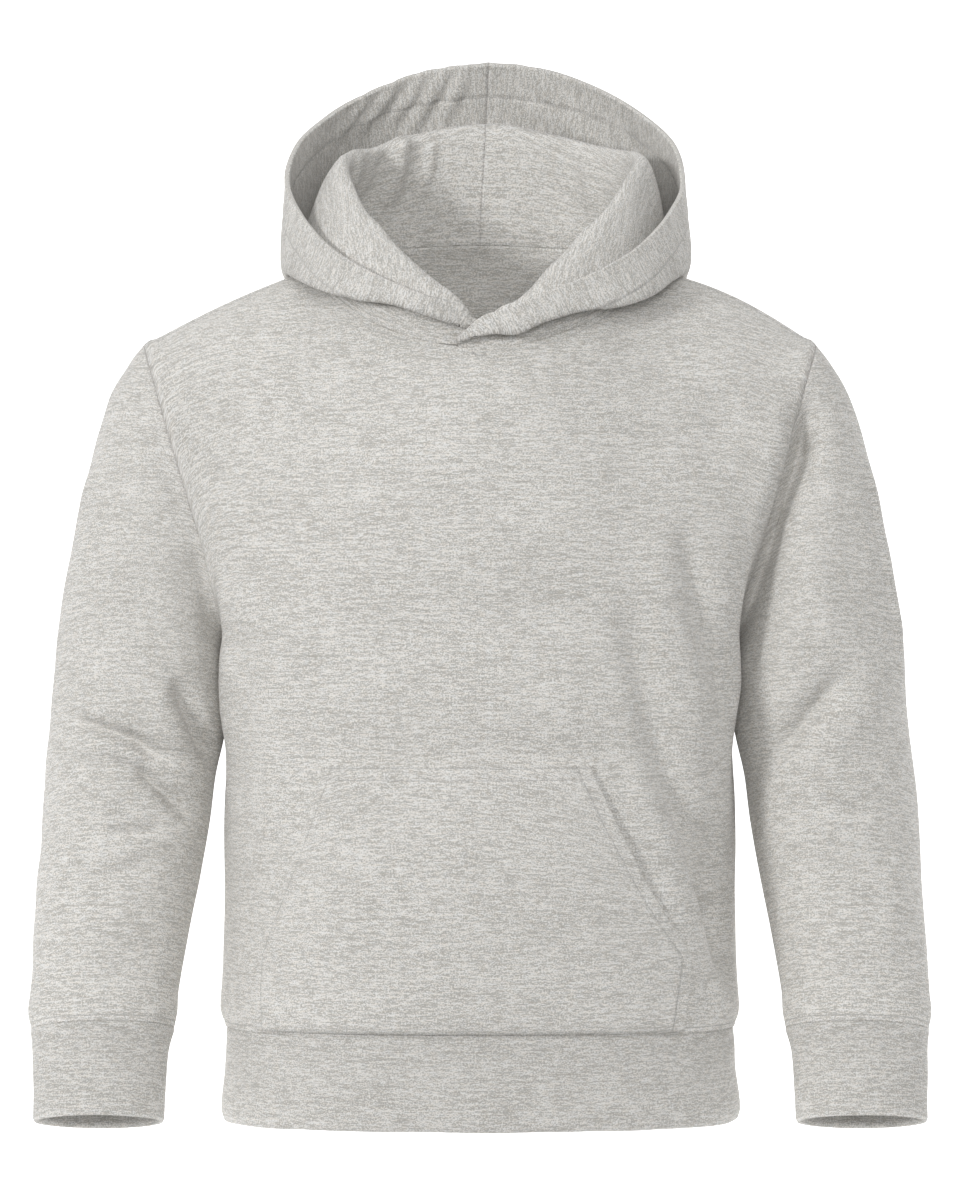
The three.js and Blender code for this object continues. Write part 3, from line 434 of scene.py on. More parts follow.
def hood_section_points(side, angles, t):
    """Hood panel: rows t from 0 (neck seam) to 16 (rim), columns by angle round the neck."""
    under = side < 0
    tab = HOOD_UNDER if under else HOOD_OVER
    a = np.asarray(angles, float)
    get = {n: read(tab, "angle", n, a) for n in tab}
    flat = np.clip((11 - a) / 11, 0, 1) if under else np.clip(-a / 11, 0, 1)
    inside = np.clip(get["inside"], 0, None) if under else 0 * a
    neck = neck_points(a)
    neck_r = np.hypot(neck[:, 0], neck[:, 1] - NECK_Y) - inside
    neck_z = neck[:, 2] + 0.8 * np.clip(inside / 2.6, 0, 1)
    sag = 0 * a if under else OVER_SAG * step((a - 4) / 14) * (1 - step((a - 52) / 34))
    wider = 0 * a if under else LEFT_ROLL * bell(a - 108, 26)
    roll = np.stack([get["roll_r"] + wider, get["roll_z"] - sag * (1 - step((a - 16) / 20))])
    hang = np.stack([get["hang_r"] + wider * 0.65, get["hang_z"] - sag])
    bag = np.stack([get["bag_r"], get["bag_z"] - sag * 0.9])
    rim = np.stack([get["rim_r"], get["rim_z"]])
    start = np.stack([neck_r, neck_z])
    rise = roll[1] - start[1]
    fold = np.minimum(16, 2 + rise * 0.3)
    lap = np.minimum(44, 4 + np.abs(hang[1] - bag[1]) * 0.45 + (rim[1] - bag[1]) * 0.12)
    full = step((a - 95) / 50)
    zero = 0 * a
    over, down = np.stack([fold, rise * 0.05]), np.stack([(bag[0] - roll[0]) * 0.35, -(roll[1] - bag[1]) * 0.55])
    legs = [
        (start, np.stack([-rise * 0.12, rise * 1.1]), roll, over),
        (roll, over, hang, down),
        (hang, down, bag, np.stack([lap, zero])),
        (bag, np.stack([lap * (1 + full * 0.8), zero]), rim,
         np.stack([(rim[0] - bag[0]) * 1.1 - lap * full, (rim[1] - bag[1]) * (0.95 - full * 0.25)])),
    ]
    ends = np.cumsum((0,) + HOOD_CELLS)
    rows = []
    for at in t:
        leg = min(3, int(np.searchsorted(ends, at, side="right") - 1))
        p, m, q, n = legs[leg]
        k = (at - ends[leg]) / HOOD_CELLS[leg]
        curved = hermite(p, m, q, n, k)
        rows.append(curved * (1 - flat) + (p + (q - p) * k) * flat)
    line = np.array(rows)
    r, z = line[:, 0], line[:, 1]
    lean = HOOD_LEAN * np.maximum(step((z - neck[None, :, 2]) / 60), step((r - neck_r[None, :]) / 22))
    lean = lean + TOP_LEAN * step((z - 75) / 38)
    rad = np.radians(a)[None, :]
    return stack(side * r * np.sin(rad) + lean, NECK_Y - r * np.cos(rad), z)


def hood_rows_and_angles():
    a = spread([-11, 0, 11, 24, 38, 52, 65, 78, 90, 105, 120, 135, 150, 165, 180], 9)
    return denser(even_rows(lambda t: hood_section_points(1, a, t), 0, 16, 3.3), 3, 7), a


def pocket_grid():
    rise = np.sin(np.linspace(0, np.pi / 2, 72))  # closer together at the top
    rows_z = POCKET["z"][0] + (POCKET["z"][-1] - POCKET["z"][0]) * rise
    across = (1 - np.cos(np.linspace(0, np.pi, 125))) / 2  # and at both sides
    fine_u = np.linspace(-1, 1, 1201)
    left, right = (np.interp(rows_z, POCKET["z"], POCKET[n]) for n in ("left", "right"))
    top, bottom = POCKET["z"][-1], POCKET["z"][0]
    out = []
    for z, x0, x1 in zip(rows_z, left, right):
        ring = ring_points(-1, [z], fine_u)[0]
        x = x0 + (x1 - x0) * across
        y = np.interp(x, ring[:, 0], ring[:, 1])
        slope = (np.interp(x + 6, ring[:, 0], ring[:, 1]) - np.interp(x - 6, ring[:, 0], ring[:, 1])) / 12
        n = unit(stack(slope, -1, 0 * slope))
        up = (z - bottom) / (top - bottom)
        u = 2 * across - 1
        mouth = POCKET_MOUTH * step((up - 0.22) / 0.16) * (1 - step((up - 0.8) / 0.2))
        mouth = np.where(u > 0, mouth * 0.6, mouth * 0.1)  # the left hand's opening stands off, the right's lies flat
        belly = max(math.sin(math.pi * up), 0) ** 0.8 * (mouth + (1 - mouth) * np.maximum(np.cos(np.pi / 2 * u), 0) ** 0.7)
        p = stack(x, y, 0 * x + z) + n * (POCKET_STAND - 0.5 + POCKET_BELLY * belly)[:, None]
        out.append(p)
    return np.array(out)


# ------------------------------------------------------------------ relief
def normals_of(p, flip):
    du = np.gradient(p, axis=1)
    dv = np.gradient(p, axis=0)
    return unit(np.cross(du, dv)) * (-1 if flip else 1)


def reach(p, edge):
    """How far each point lies from an edge, along the cloth."""
    rows = np.concatenate([0 * p[:1, :, 0], np.cumsum(np.linalg.norm(np.diff(p, axis=0), axis=2), axis=0)])
    cols = np.concatenate([0 * p[:, :1, 0], np.cumsum(np.linalg.norm(np.diff(p, axis=1), axis=2), axis=1)], axis=1)
    return {"bottom": rows, "top": rows[-1] - rows, "left": cols, "right": cols[:, -1:] - cols}[edge]


def line_relief(x, z, width, height, lean, points, open_ends=""):
    """One fold's height at each point, from how far it lies from the fold's line."""
    pts = np.array(points, float)
    lengths = np.linalg.norm(np.diff(pts, axis=0), axis=1)
    total = lengths.sum()
    best = np.full(x.shape, 1e9)
    side = np.zeros(x.shape)
    along = np.zeros(x.shape)
    run = 0.0
    for (ax, az), (bx, bz), length in zip(pts[:-1], pts[1:], lengths):
        dx, dz = (bx - ax) / length, (bz - az) / length
        k = np.clip((x - ax) * dx + (z - az) * dz, 0, length)
        ox, oz = x - ax - dx * k, z - az - dz * k
        d = np.hypot(ox, oz)
        near = d < best
        best = np.where(near, d, best)
        side = np.where(near, (dx * oz - dz * ox), side)
        along = np.where(near, run + k, along)
        run += length
    t = along / total
    fade = step(t / 0.3) * step((1 - t) / 0.3)
    past = np.where((t <= 0) | (t >= 1), bell(best, width * 0.6), 1)
    w = side / width
    return fade * past * (height * np.exp(-w * w) + lean * w * np.exp(0.5 - w * w)) * (best < 4 * width)


WAVES = np.random.default_rng(8571).normal(size=(14, 3))
PHASES = np.random.default_rng(8572).uniform(0, 2 * np.pi, 14)
LENGTHS = np.geomspace(22, 90, 14)


def unevenness(p):
    """Soft dents and swells with no pattern, about half a millimetre."""
    out = np.zeros(p.shape[:-1])
    for direction, phase, length in zip(unit(WAVES), PHASES, LENGTHS):
        out += np.sin(p @ direction * 2 * np.pi / length + phase) * (length / 90) ** 0.6
    return out * 0.22


def valley_depth(v, z):
    """Depth of the valley along the armhole's front, v from 0 at the underarm to 1."""
    v = np.clip(v, 0, 1)
    return VALLEY["deep"] * step(np.sin(np.pi * v) / 0.5) * step((VALLEY["top"] - z) / VALLEY["fade"])


def valley_in_body(p, below):
    """Pushes the front panel's left armhole edge back; below is the number of rows under it."""
    rows = len(p)
    v = (np.arange(rows) - below + 1) / (rows - below)
    deep = valley_depth(v, p[:, -1, 2])
    out = p.copy()
    out[..., 1] += deep[:, None] * bell(reach(p, "right"), VALLEY["body"])
    return out


def valley_in_sleeve(p):
    v = 2 * np.linspace(0, 1, p.shape[1])
    deep = np.where(v < 1, valley_depth(v, p[0, :, 2]), 0)
    d = reach(p, "bottom")
    back = bell(d, VALLEY["sleeve"]) * (1 + VALLEY["dip"] * bell(d - VALLEY["dip_at"], VALLEY["dip_width"]) - VALLEY["dip"] * bell(d + VALLEY["dip_at"], VALLEY["dip_width"]))
    out = p.copy()
    out[..., 1] += deep[None, :] * back
    return out


# ------------------------------------------------------------------ meshes
sheets = {}
# Share of the wall left at the very edge of each kind of seam: the less, the deeper its groove.
SEAM_LEFT = {"seam": 0.3, "seam flat": 1.0, "seam taped": 0.6, "seam beside": 0.85, "seam twin": 0.75, "seam puffed": 0.9, "seam over": 0.8}


def make_sheet(name, p, flip, wall, edges, grain="level", extra=None, material=None, hem=None):
    """One cut piece as a thin closed shell. edges says how each edge ends: seam or fold."""
    n = normals_of(p, flip)
    flat_seam = edges.get("right") == "seam flat"
    if flat_seam:  # both halves meet square to the middle
        n[:, -1, 0] = 0
        n = unit(n)
    view = [f for f in FOLDS if f[0] == name]
    lift = unevenness(p)
    for _, facing, width, height, lean, ends, points in view:
        toward = -n[..., 1] if facing == "front" else n[..., 1]
        lift = lift + step((toward - 0.05) / 0.4) * line_relief(
            p[..., 0], p[..., 2], width, height * FOLD_DEPTH, lean * FOLD_DEPTH, points, ends)
    if extra is not None:
        lift = lift + extra
    hold = np.ones(p.shape[:2])
    for edge, kind in edges.items():
        d = reach(p, edge)
        hold = hold * (step(d / (6 if kind == "seam flat" else 9)) if kind.startswith("seam") else 1)
    lift = lift * hold
    for piece, edge, facing, peak, height, low, high in BESIDE:
        if piece == name:
            d = reach(p, edge) / peak
            toward = -n[..., 1] if facing == "front" else n[..., 1]
            z = p[..., 2]
            span = step((z - low) / 22) * step((high - z) / 34)
            lift = lift + height * d * np.exp(1 - d) * span * step((toward + 0.1) / 0.5)
    half = np.full(p.shape[:2], wall / 2)
    if hem is not None:
        d = reach(p, hem)
        half = half + (HEM - FLEECE) / 2 * (1 - step((d - HEM_WIDTH + 1.2) / 1.8))
    outer, inner = half.copy(), half.copy()
    for edge, kind in edges.items():
        d = reach(p, edge)
        if kind.startswith("seam"):
            turned = SEAM_LEFT[kind] + (1 - SEAM_LEFT[kind]) * np.sqrt(np.clip(1 - (1 - np.clip(d / 1.1, 0, 1)) ** 2, 0, 1))
            outer, inner = np.minimum(outer, half * turned), np.minimum(inner, half * turned)
        else:
            r = wall / 2
            round_off = np.sqrt(np.clip(1 - (1 - np.clip((d + 0.12) / r, 0, 1)) ** 2, 0, 1))
            outer, inner = np.minimum(outer, half * round_off), np.minimum(inner, half * round_off)
        if kind == "seam puffed":  # cloth gathered a little into a band
            lift = lift + 0.6 * bell(d - 9, 6.0)
        if kind in ("seam puffed", "seam twin"):
            outer = outer + 0.3 * bell(d - TWIN * 0.52, 0.75) - 0.4 * bell(d - TWIN, 0.5) + 0.25 * bell(d - TWIN - 1.9, 1.2)
        if kind == "seam taped":
            groove = 0.45 * bell(d - 3.2, 0.6) - 0.3 * bell(d - 1.7, 0.8) + 0.2 * bell(d - 5.8, 0.8)
            outer, inner = outer - groove, inner - groove
        if kind == "seam beside":
            outer = outer + 0.35 * bell(d - 2.6, 1.3)
        if kind == "seam over":
            lift = lift + 0.9 * bell(d - 3.0, 2.6)
        if kind == "fold stitched":
            outer = outer - 0.45 * bell(d - 6.6, 0.7) + 0.35 * bell(d - 1.2, 1.3) + 0.25 * bell(d - 8.6, 1.2)
        if kind == "fold pressed":  # flat to the body, its turned edge two soft ridges
            lift = lift - 0.7 * bell(d, 5.0)
            outer = outer + 0.5 * bell(d - 2.2, 1.2) - 0.5 * bell(d - 4.4, 1.0) + 0.6 * bell(d - 6.6, 1.3) - 0.25 * bell(d - 9.4, 1.6)
        if kind == "fold twice":
            outer = outer - 0.4 * bell(d - 1.7, 0.6) - 0.45 * bell(d - 7.4, 0.65) + 0.25 * bell(d - 4.4, 1.8)
        if kind == "hem":
            outer = outer - 0.5 * bell(d - HEM_WIDTH, 0.8)
            inner = inner - 0.5 * bell(d - HEM_WIDTH, 0.8)
    mid = p + n * lift[..., None]
    n2 = normals_of(mid, flip)
    n2 = unit(n2 * hold[..., None] + n * (1 - hold[..., None]))
    out_face = mid + n2 * outer[..., None]
    in_face = mid - n2 * inner[..., None]
    rows, cols = p.shape[:2]
    verts = np.concatenate([out_face.reshape(-1, 3), in_face.reshape(-1, 3)]) * 0.001
    grid = np.arange(rows * cols).reshape(rows, cols)
    a, b, c, d = grid[:-1, :-1], grid[:-1, 1:], grid[1:, 1:], grid[1:, :-1]
    quads = np.stack([a, b, c, d], axis=-1).reshape(-1, 4)
    low = quads[:, ::-1] + rows * cols
    if flip:
        quads, low = quads[:, ::-1], low[:, ::-1]
    rim = []
    k = rows * cols
    for line, back in ((grid[0], False), (grid[-1], True), (grid[:, 0], True), (grid[:, -1], False)):
        s, e = (line[1:], line[:-1]) if back else (line[:-1], line[1:])
        q = np.stack([s, s + k, e + k, e], axis=-1)
        rim.append(q[:, ::-1] if flip else q)
    faces = np.concatenate([quads, low] + rim)
    mesh = bpy.data.meshes.new(name + "_cloth")
    mesh.vertices.add(len(verts))
    mesh.vertices.foreach_set("co", verts.ravel())
    mesh.loops.add(faces.size)
    mesh.loops.foreach_set("vertex_index", faces.ravel().astype(np.int32))
    mesh.polygons.add(len(faces))
    mesh.polygons.foreach_set("loop_start", np.arange(0, faces.size, 4, dtype=np.int32))
    smooth = np.ones(len(faces), dtype=bool)
    if flat_seam:  # the strip across the wall keeps out of the shading of its faces
        smooth[len(faces) - len(rim[-1]):] = False
    mesh.polygons.foreach_set("use_smooth", smooth)
    # cloth coordinates in metres: u across the cloth, v along its grain
    across, along = reach(p, "left"), reach(p, "bottom")
    if grain == "hood":  # the hood's rows fan out from the front of its neck edge
        turn = np.pi / 2 * along / along[-1:]
        across, along = across * np.cos(turn), across * np.sin(turn)
    elif grain == "sleeve":  # measured up from the wrist, square to the sleeve
        across, along = across - across[:, cols // 2 : cols // 2 + 1], reach(p, "top")
    else:
        across = across - across[:, cols // 2 : cols // 2 + 1]
    uv = np.stack([across, along], axis=-1).reshape(-1, 2) * 0.001
    uv = np.concatenate([uv, uv + 0.37])
    layer = mesh.uv_layers.new(name="cloth")
    layer.data.foreach_set("uv", uv[faces.ravel()].ravel().astype(np.float32))
    mesh.update(calc_edges=True)
    mesh.validate()
    obj = bpy.data.objects.new(name + "_cloth", mesh)
    bpy.context.scene.collection.objects.link(obj)
    mesh.materials.append(material)
    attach(obj, "root")
    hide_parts(name)
    sheets[name] = dict(obj=obj, p=p, mid=mid, out=out_face, inn=in_face, n=n2, flip=flip)
    return obj


def along_edge(name, edge, distance, face="out", trim=(0.0, 1.0)):
    """The line on a piece's face that stays a distance from one of its edges."""
    s = sheets[name]
    d = reach(s["p"], edge)
    pts, nrm = s[face], s["n"] * (1 if face == "out" else -1)
    if edge in ("left", "right"):
        d, pts, nrm = d.T, pts.transpose(1, 0, 2), nrm.transpose(1, 0, 2)
    if edge in ("top", "right"):
        d, pts, nrm = d[::-1], pts[::-1], nrm[::-1]
    i = np.clip((d < distance).sum(axis=0) - 1, 0, len(d) - 2)
    j = np.arange(d.shape[1])
    t = ((distance - d[i, j]) / np.maximum(d[i + 1, j] - d[i, j], 1e-6))[:, None]
    line = pts[i, j] + (pts[i + 1, j] - pts[i, j]) * t
    up = unit(nrm[i, j] + (nrm[i + 1, j] - nrm[i, j]) * t)
    first, last = int(trim[0] * (len(line) - 1)), int(round(trim[1] * (len(line) - 1)))
    return line[first : last + 1], up[first : last + 1]


STITCH_SIDES = 5
STITCH_LINES = []


def stitch_mesh(name, lines, material, pitch=STITCH, radius=THREAD):
    """Threads of a row of stitches, each one a short bowed capsule, joined in one mesh."""
    verts, faces = [], []
    ring = np.linspace(0, 2 * np.pi, STITCH_SIDES, endpoint=False)
    shape = ((-0.5, 0.25, -0.28), (-0.36, 0.9, 0.02), (0.0, 1.0, 0.12), (0.36, 0.9, 0.02), (0.5, 0.25, -0.28))
    for line, up in lines:
        run = np.concatenate([[0], np.cumsum(np.linalg.norm(np.diff(line, axis=0), axis=1))])
        count = int(run[-1] / pitch)
        if count < 1:
            continue
        centre = (np.arange(count) + 0.5) * run[-1] / count
        c = np.stack([np.interp(centre, run, line[:, k]) for k in range(3)], axis=-1)
        ahead = np.stack([np.interp(centre + 0.6, run, line[:, k]) - np.interp(centre - 0.6, run, line[:, k]) for k in range(3)], axis=-1)
        n = unit(np.stack([np.interp(centre, run, up[:, k]) for k in range(3)], axis=-1))
        t = unit(ahead)
        b = unit(np.cross(n, t))
        long = pitch * 0.92
        for k in range(count):
            base = len(verts)
            for at, wide, high in shape:
                mid = c[k] + t[k] * at * long + n[k] * (high * 0.5 + 0.05)
                for r in ring:
                    verts.append(mid + (b[k] * math.cos(r) + n[k] * math.sin(r)) * radius * wide)
            m = STITCH_SIDES
            for i in range(len(shape) - 1):
                for j in range(m):
                    faces.append((base + i * m + j, base + i * m + (j + 1) % m, base + (i + 1) * m + (j + 1) % m, base + (i + 1) * m + j))
            faces.append(tuple(base + j for j in reversed(range(m))))
            faces.append(tuple(base + (len(shape) - 1) * m + j for j in range(m)))
    mesh = bpy.data.meshes.new(name)
    mesh.from_pydata([tuple(v * 0.001) for v in verts], [], faces)
    mesh.polygons.foreach_set("use_smooth", np.ones(len(mesh.polygons), dtype=bool))
    mesh.update()
    obj = bpy.data.objects.new(name, mesh)
    bpy.context.scene.collection.objects.link(obj)
    mesh.materials.append(material)
    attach(obj, "root")
    return obj


# ------------------------------------------------------------------ materials
def heather(name, light, dark, warm, depth=1.0, shade=1.0):
    """Heather-grey jersey: streaks across the cloth, speckle, wide mottle and fine knit bump."""
    mat = bpy.data.materials.new(name)
    mat.use_nodes = True
    nt = mat.node_tree
    nodes, links = nt.nodes, nt.links
    bsdf = nodes["Principled BSDF"]
    uv = nodes.new("ShaderNodeUVMap")
    uv.uv_map = "cloth"

    def noise(sx, sy, detail=2.0, rough=0.5, shift=0.0, distortion=0.0):
        mapping = nodes.new("ShaderNodeMapping")
        mapping.inputs["Scale"].default_value = (sx, sy, 1)
        mapping.inputs["Location"].default_value = (shift, shift * 1.7, 0)
        links.new(uv.outputs["UV"], mapping.inputs["Vector"])
        tex = nodes.new("ShaderNodeTexNoise")
        tex.inputs["Scale"].default_value = 1.0
        tex.inputs["Detail"].default_value = detail
        tex.inputs["Roughness"].default_value = rough
        tex.inputs["Distortion"].default_value = distortion
        links.new(mapping.outputs["Vector"], tex.inputs["Vector"])
        return tex.outputs["Fac"]

    def maths(op, a, b):
        node = nodes.new("ShaderNodeMath")
        node.operation = op
        for socket, value in zip(node.inputs, (a, b)):
            if isinstance(value, (int, float)):
                socket.default_value = value
            else:
                links.new(value, socket)
        return node.outputs[0]

    parts = [
        (noise(120, 860, 3, 0.65), 4.2 * depth),
        (noise(380, 1450, 2, 0.6, 4.9), 3.8 * depth),
        (noise(1250, 1600, 2, 0.8, 3.1), 9.0 * depth),
        (noise(36, 330, 2, 0.55, 7.3), 1.5 * depth),
        (noise(22, 60, 2, 0.5, 11.7), 0.7),
    ]
    total = 0.5
    for value, weight in parts:
        total = maths("ADD", total, maths("MULTIPLY", maths("SUBTRACT", value, 0.5), weight))
    ramp = nodes.new("ShaderNodeValToRGB")
    ramp.color_ramp.elements[0].position = 0.0
    ramp.color_ramp.elements[0].color = (*[c * shade for c in dark], 1)
    ramp.color_ramp.elements[1].position = 1.0
    ramp.color_ramp.elements[1].color = (*[c * shade for c in light], 1)
    links.new(total, ramp.inputs["Fac"])
    tint = nodes.new("ShaderNodeMix")
    tint.data_type = "RGBA"
    tint.blend_type = "MULTIPLY"
    tint_amount = nodes.new("ShaderNodeMapRange")
    tint_amount.inputs["From Min"].default_value = 0.4
    tint_amount.inputs["From Max"].default_value = 0.62
    tint_amount.inputs["To Min"].default_value = 0.0
    tint_amount.inputs["To Max"].default_value = 0.8
    links.new(noise(240, 900, 3, 0.7, 19.4), tint_amount.inputs["Value"])
    links.new(tint_amount.outputs["Result"], tint.inputs["Factor"])
    links.new(ramp.outputs["Color"], tint.inputs["A"])
    tint.inputs["B"].default_value = (*warm, 1)
    links.new(tint.outputs["Result"], bsdf.inputs["Base Color"])
    bsdf.inputs["Roughness"].default_value = 0.96
    bsdf.inputs["Specular IOR Level"].default_value = 0.12
    bsdf.inputs["Sheen Weight"].default_value = 0.16
    bsdf.inputs["Sheen Roughness"].default_value = 0.6
    knit = maths("ADD", maths("MULTIPLY", noise(1100, 900, 2, 0.6, 5.0), 0.7), maths("MULTIPLY", noise(260, 700, 2, 0.5, 2.2), 0.5))
    knit = maths("ADD", knit, maths("MULTIPLY", noise(90, 130, 2, 0.5, 9.0), 1.2))
    bump = nodes.new("ShaderNodeBump")
    bump.inputs["Strength"].default_value = 0.35
    bump.inputs["Distance"].default_value = 0.0004
    links.new(knit, bump.inputs["Height"])
    links.new(bump.outputs["Normal"], bsdf.inputs["Normal"])
    return mat


def thread_material(name, color):
    mat = bpy.data.materials.new(name)
    mat.use_nodes = True
    nodes, links = mat.node_tree.nodes, mat.node_tree.links
    bsdf = nodes["Principled BSDF"]
    coord = nodes.new("ShaderNodeTexCoord")
    tex = nodes.new("ShaderNodeTexNoise")
    tex.inputs["Scale"].default_value = 900
    ramp = nodes.new("ShaderNodeValToRGB")
    ramp.color_ramp.elements[0].position = 0.3
    ramp.color_ramp.elements[0].color = (*[c * 0.8 for c in color], 1)
    ramp.color_ramp.elements[1].position = 0.7
    ramp.color_ramp.elements[1].color = (*color, 1)
    links.new(coord.outputs["Object"], tex.inputs["Vector"])
    links.new(tex.outputs["Fac"], ramp.inputs["Fac"])
    links.new(ramp.outputs["Color"], bsdf.inputs["Base Color"])
    bsdf.inputs["Roughness"].default_value = 0.7
    return mat


LIGHT, DARK, WARM = (0.785, 0.782, 0.767), (0.445, 0.438, 0.417), (1.0, 0.955, 0.9)
body_cloth = heather("body_heather", LIGHT, DARK, WARM)
sleeve_cloth = heather("sleeve_heather", LIGHT, DARK, WARM)
hood_cloth = heather("hood_heather", LIGHT, DARK, WARM, shade=0.97)
pocket_cloth = heather("pocket_heather", LIGHT, DARK, WARM, shade=1.0)
band_cloth = heather("band_heather", LIGHT, DARK, WARM, depth=0.9, shade=0.9)
thread = thread_material("thread", (0.55, 0.545, 0.53))

# ------------------------------------------------------------------ the pieces
front, back = body_grid(-1), body_grid(1)
front = valley_in_body(front, len(body_rows_below()))
make_sheet("front_panel", front, False, FLEECE, {
    "bottom": "seam puffed", "top": "seam twin", "left": "seam over", "right": "seam over"}, material=body_cloth)
make_sheet("back_panel", back, True, FLEECE, {
    "bottom": "seam puffed", "top": "seam twin", "left": "seam over", "right": "seam over"}, material=body_cloth)
band_wave = waistband_grid()
make_sheet("waistband", band_wave, False, BAND, {
    "bottom": "fold", "top": "seam beside", "left": "seam", "right": "seam"}, material=band_cloth)
for side, word in ((1, "left"), (-1, "right")):
    make_sheet("sleeve_" + word, valley_in_sleeve(sleeve_grid(side)) if side > 0 else sleeve_grid(side), side > 0, FLEECE, {
        "bottom": "seam beside", "top": "seam puffed", "left": "seam", "right": "seam"}, material=sleeve_cloth, grain="sleeve")
    make_sheet("cuff_" + word, cuff_grid(side), side < 0, BAND, {
        "bottom": "fold", "top": "seam beside", "left": "seam", "right": "seam"}, material=band_cloth)
    t, angles = hood_rows_and_angles()
    p = hood_section_points(side, angles, t)
    if side < 0:
        p = p.copy()
    crease = np.zeros(p.shape[:2])
    deg, row = np.meshgrid(angles * 1.35, t * 11.0)
    for piece, width, height, lean, points in HOOD_FOLDS:
        if piece == "hood_" + word:
            crease += line_relief(deg, row, width, height, lean, [(a * 1.35, r * 11.0) for a, r in points])
    make_sheet("hood_" + word, p, side < 0, FLEECE, {
        "bottom": "seam taped", "top": "hem", "right": "seam flat", "left": "fold"}, material=hood_cloth, extra=crease,
        grain="hood", hem="top")
make_sheet("kangaroo_pocket", pocket_grid(), False, FLEECE, {
    "bottom": "seam", "top": "fold twice", "left": "fold pressed", "right": "fold stitched"}, material=pocket_cloth)

# Threads: two needle lines at the neck, waistband and wrists, lines on pocket and hood hem.
stitch_mesh("neck_stitches", [
    along_edge("front_panel", "top", TWIN), along_edge("back_panel", "top", TWIN)], thread)
stitch_mesh("waistband_stitches", [along_edge("front_panel", "bottom", TWIN), along_edge("back_panel", "bottom", TWIN)], thread)
stitch_mesh("wrist_stitches", [along_edge("sleeve_left", "top", TWIN), along_edge("sleeve_right", "top", TWIN)], thread)
stitch_mesh("hood_hem_stitches", [
    along_edge("hood_" + w, "top", HEM_WIDTH, face, (0.07, 1.0)) for w in ("left", "right") for face in ("out", "inn")], thread)
stitch_mesh("pocket_stitches", [
    along_edge("kangaroo_pocket", "top", 1.7), along_edge("kangaroo_pocket", "top", 7.4),
    along_edge("kangaroo_pocket", "left", 4.4), along_edge("kangaroo_pocket", "right", 6.6)], thread)

# ------------------------------------------------------------------ floor, light, camera
def backdrop():
    """A pale sweep: floor, curve and wall in one sheet."""
    line = [(-0.14, -0.52)]
    line += [(1.3 + 0.9 * math.sin(a), -0.52 + 0.9 - 0.9 * math.cos(a)) for a in np.linspace(0, math.pi / 2, 24)]
    line += [(2.2, 3.6)]
    verts = [(x, y, z) for y, z in line for x in (-3.5, 3.5)]
    faces = [(2 * i, 2 * i + 1, 2 * i + 3, 2 * i + 2) for i in range(len(line) - 1)]
    mesh = bpy.data.meshes.new("backdrop")
    mesh.from_pydata(verts, [], faces)
    mesh.polygons.foreach_set("use_smooth", np.ones(len(faces), dtype=bool))
    obj = bpy.data.objects.new("backdrop", mesh)
    bpy.context.scene.collection.objects.link(obj)
    mat = bpy.data.materials.new("backdrop_paper")
    mat.use_nodes = True
    nodes, links = mat.node_tree.nodes, mat.node_tree.links
    bsdf = nodes["Principled BSDF"]
    tex = nodes.new("ShaderNodeTexNoise")
    tex.inputs["Scale"].default_value = 3
    ramp = nodes.new("ShaderNodeValToRGB")
    ramp.color_ramp.elements[0].color = (0.93, 0.93, 0.93, 1)
    ramp.color_ramp.elements[1].color = (0.96, 0.96, 0.96, 1)
    links.new(tex.outputs["Fac"], ramp.inputs["Fac"])
    links.new(ramp.outputs["Color"], bsdf.inputs["Base Color"])
    links.new(ramp.outputs["Color"], bsdf.inputs["Emission Color"])
    bsdf.inputs["Emission Strength"].default_value = 0.7
    bsdf.inputs["Roughness"].default_value = 1.0
    mesh.materials.append(mat)


backdrop()


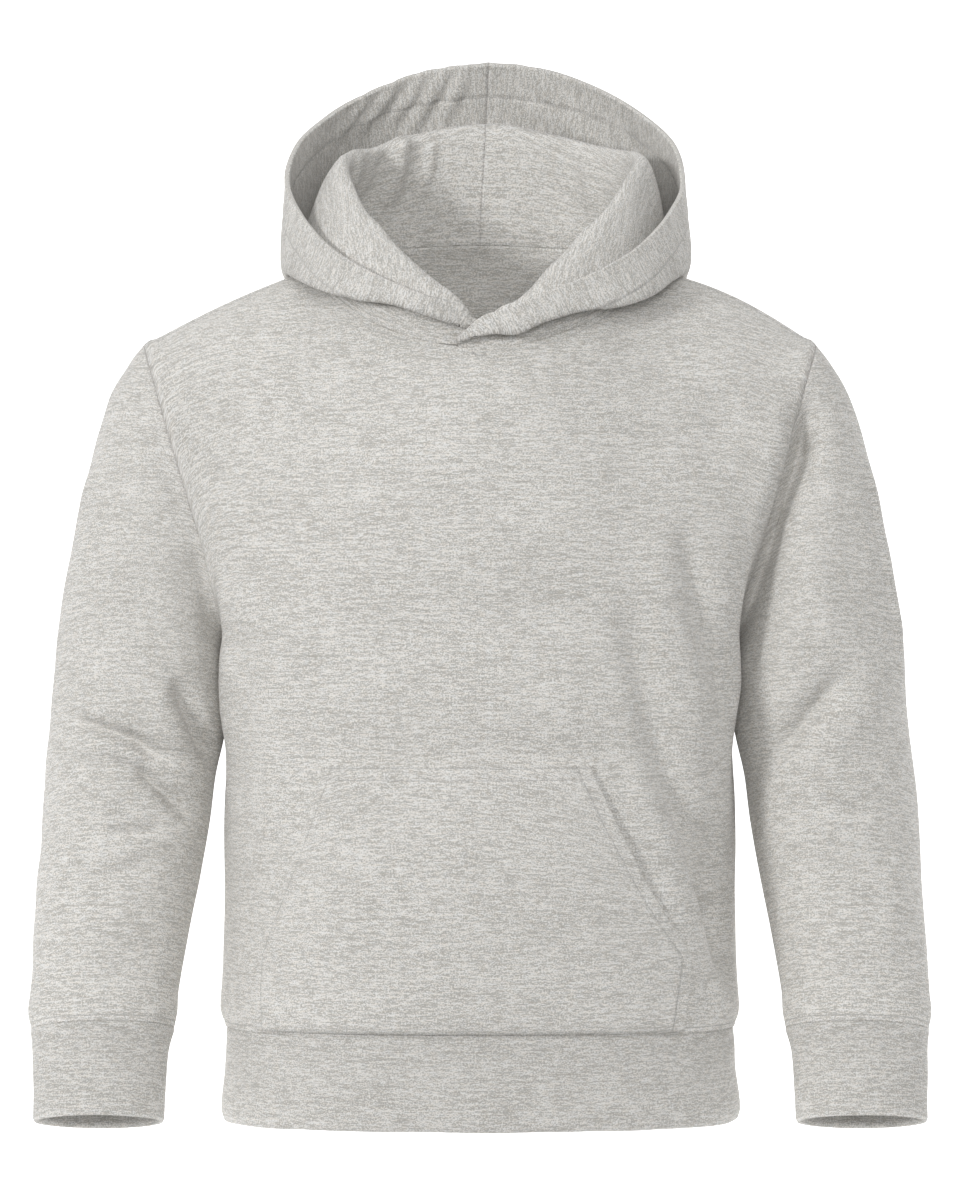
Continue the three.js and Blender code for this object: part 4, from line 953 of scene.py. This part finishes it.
def area_light(name, place, aim, size, power):
    data = bpy.data.lights.new(name, "AREA")
    data.shape = "RECTANGLE"
    data.size, data.size_y = size
    data.energy = power
    obj = bpy.data.objects.new(name, data)
    obj.location = place
    direction = [a - b for a, b in zip(aim, place)]
    flat = math.hypot(direction[0], direction[1])
    obj.rotation_euler = (math.atan2(flat, -direction[2]), 0, math.atan2(-direction[0], direction[1]) if flat else 0)
    bpy.context.scene.collection.objects.link(obj)
    return obj


area_light("key", (-1.9, -2.2, 0.4), (0, 0, -0.15), (0.5, 0.5), 32)
area_light("fill", (0.1, -2.95, 0.3), (0, 0, -0.15), (0.9, 0.9), 30)
area_light("edge", (2.5, -0.4, -0.1), (0, 0, -0.15), (0.8, 1.2), 5)
area_light("top", (0.0, 0.1, 1.8), (0, 0, -0.1), (1.6, 1.6), 5)

world = bpy.data.worlds.new("studio")
world.use_nodes = True
# dimmer from below, where a studio's floor gives back less than its walls
sky = world.node_tree.nodes.new("ShaderNodeTexCoord")
split = world.node_tree.nodes.new("ShaderNodeSeparateXYZ")
shade = world.node_tree.nodes.new("ShaderNodeMapRange")
for socket, value in (("From Min", -0.8), ("From Max", 0.6), ("To Min", 0.03), ("To Max", 0.5)):
    shade.inputs[socket].default_value = value
world.node_tree.links.new(sky.outputs["Generated"], split.inputs["Vector"])
world.node_tree.links.new(split.outputs["Z"], shade.inputs["Value"])
world.node_tree.links.new(shade.outputs["Result"], world.node_tree.nodes["Background"].inputs["Strength"])
world.node_tree.nodes["Background"].inputs["Color"].default_value = (1, 1, 1, 1)
scene = bpy.context.scene
scene.world = world
scene.view_settings.view_transform = "Standard"
scene.view_settings.look = "None"
scene.view_settings.exposure = 0.0
scene.view_settings.gamma = 1.0

camera_data = bpy.data.cameras.new("camera")
camera_data.lens = 187.5
camera_data.sensor_width = 36
camera_data.clip_end = 50
camera = bpy.data.objects.new("camera", camera_data)
camera.location = (0, -3.0, -0.1488)
camera.rotation_euler = (math.pi / 2, 0, 0)
scene.collection.objects.link(camera)
scene.camera = camera
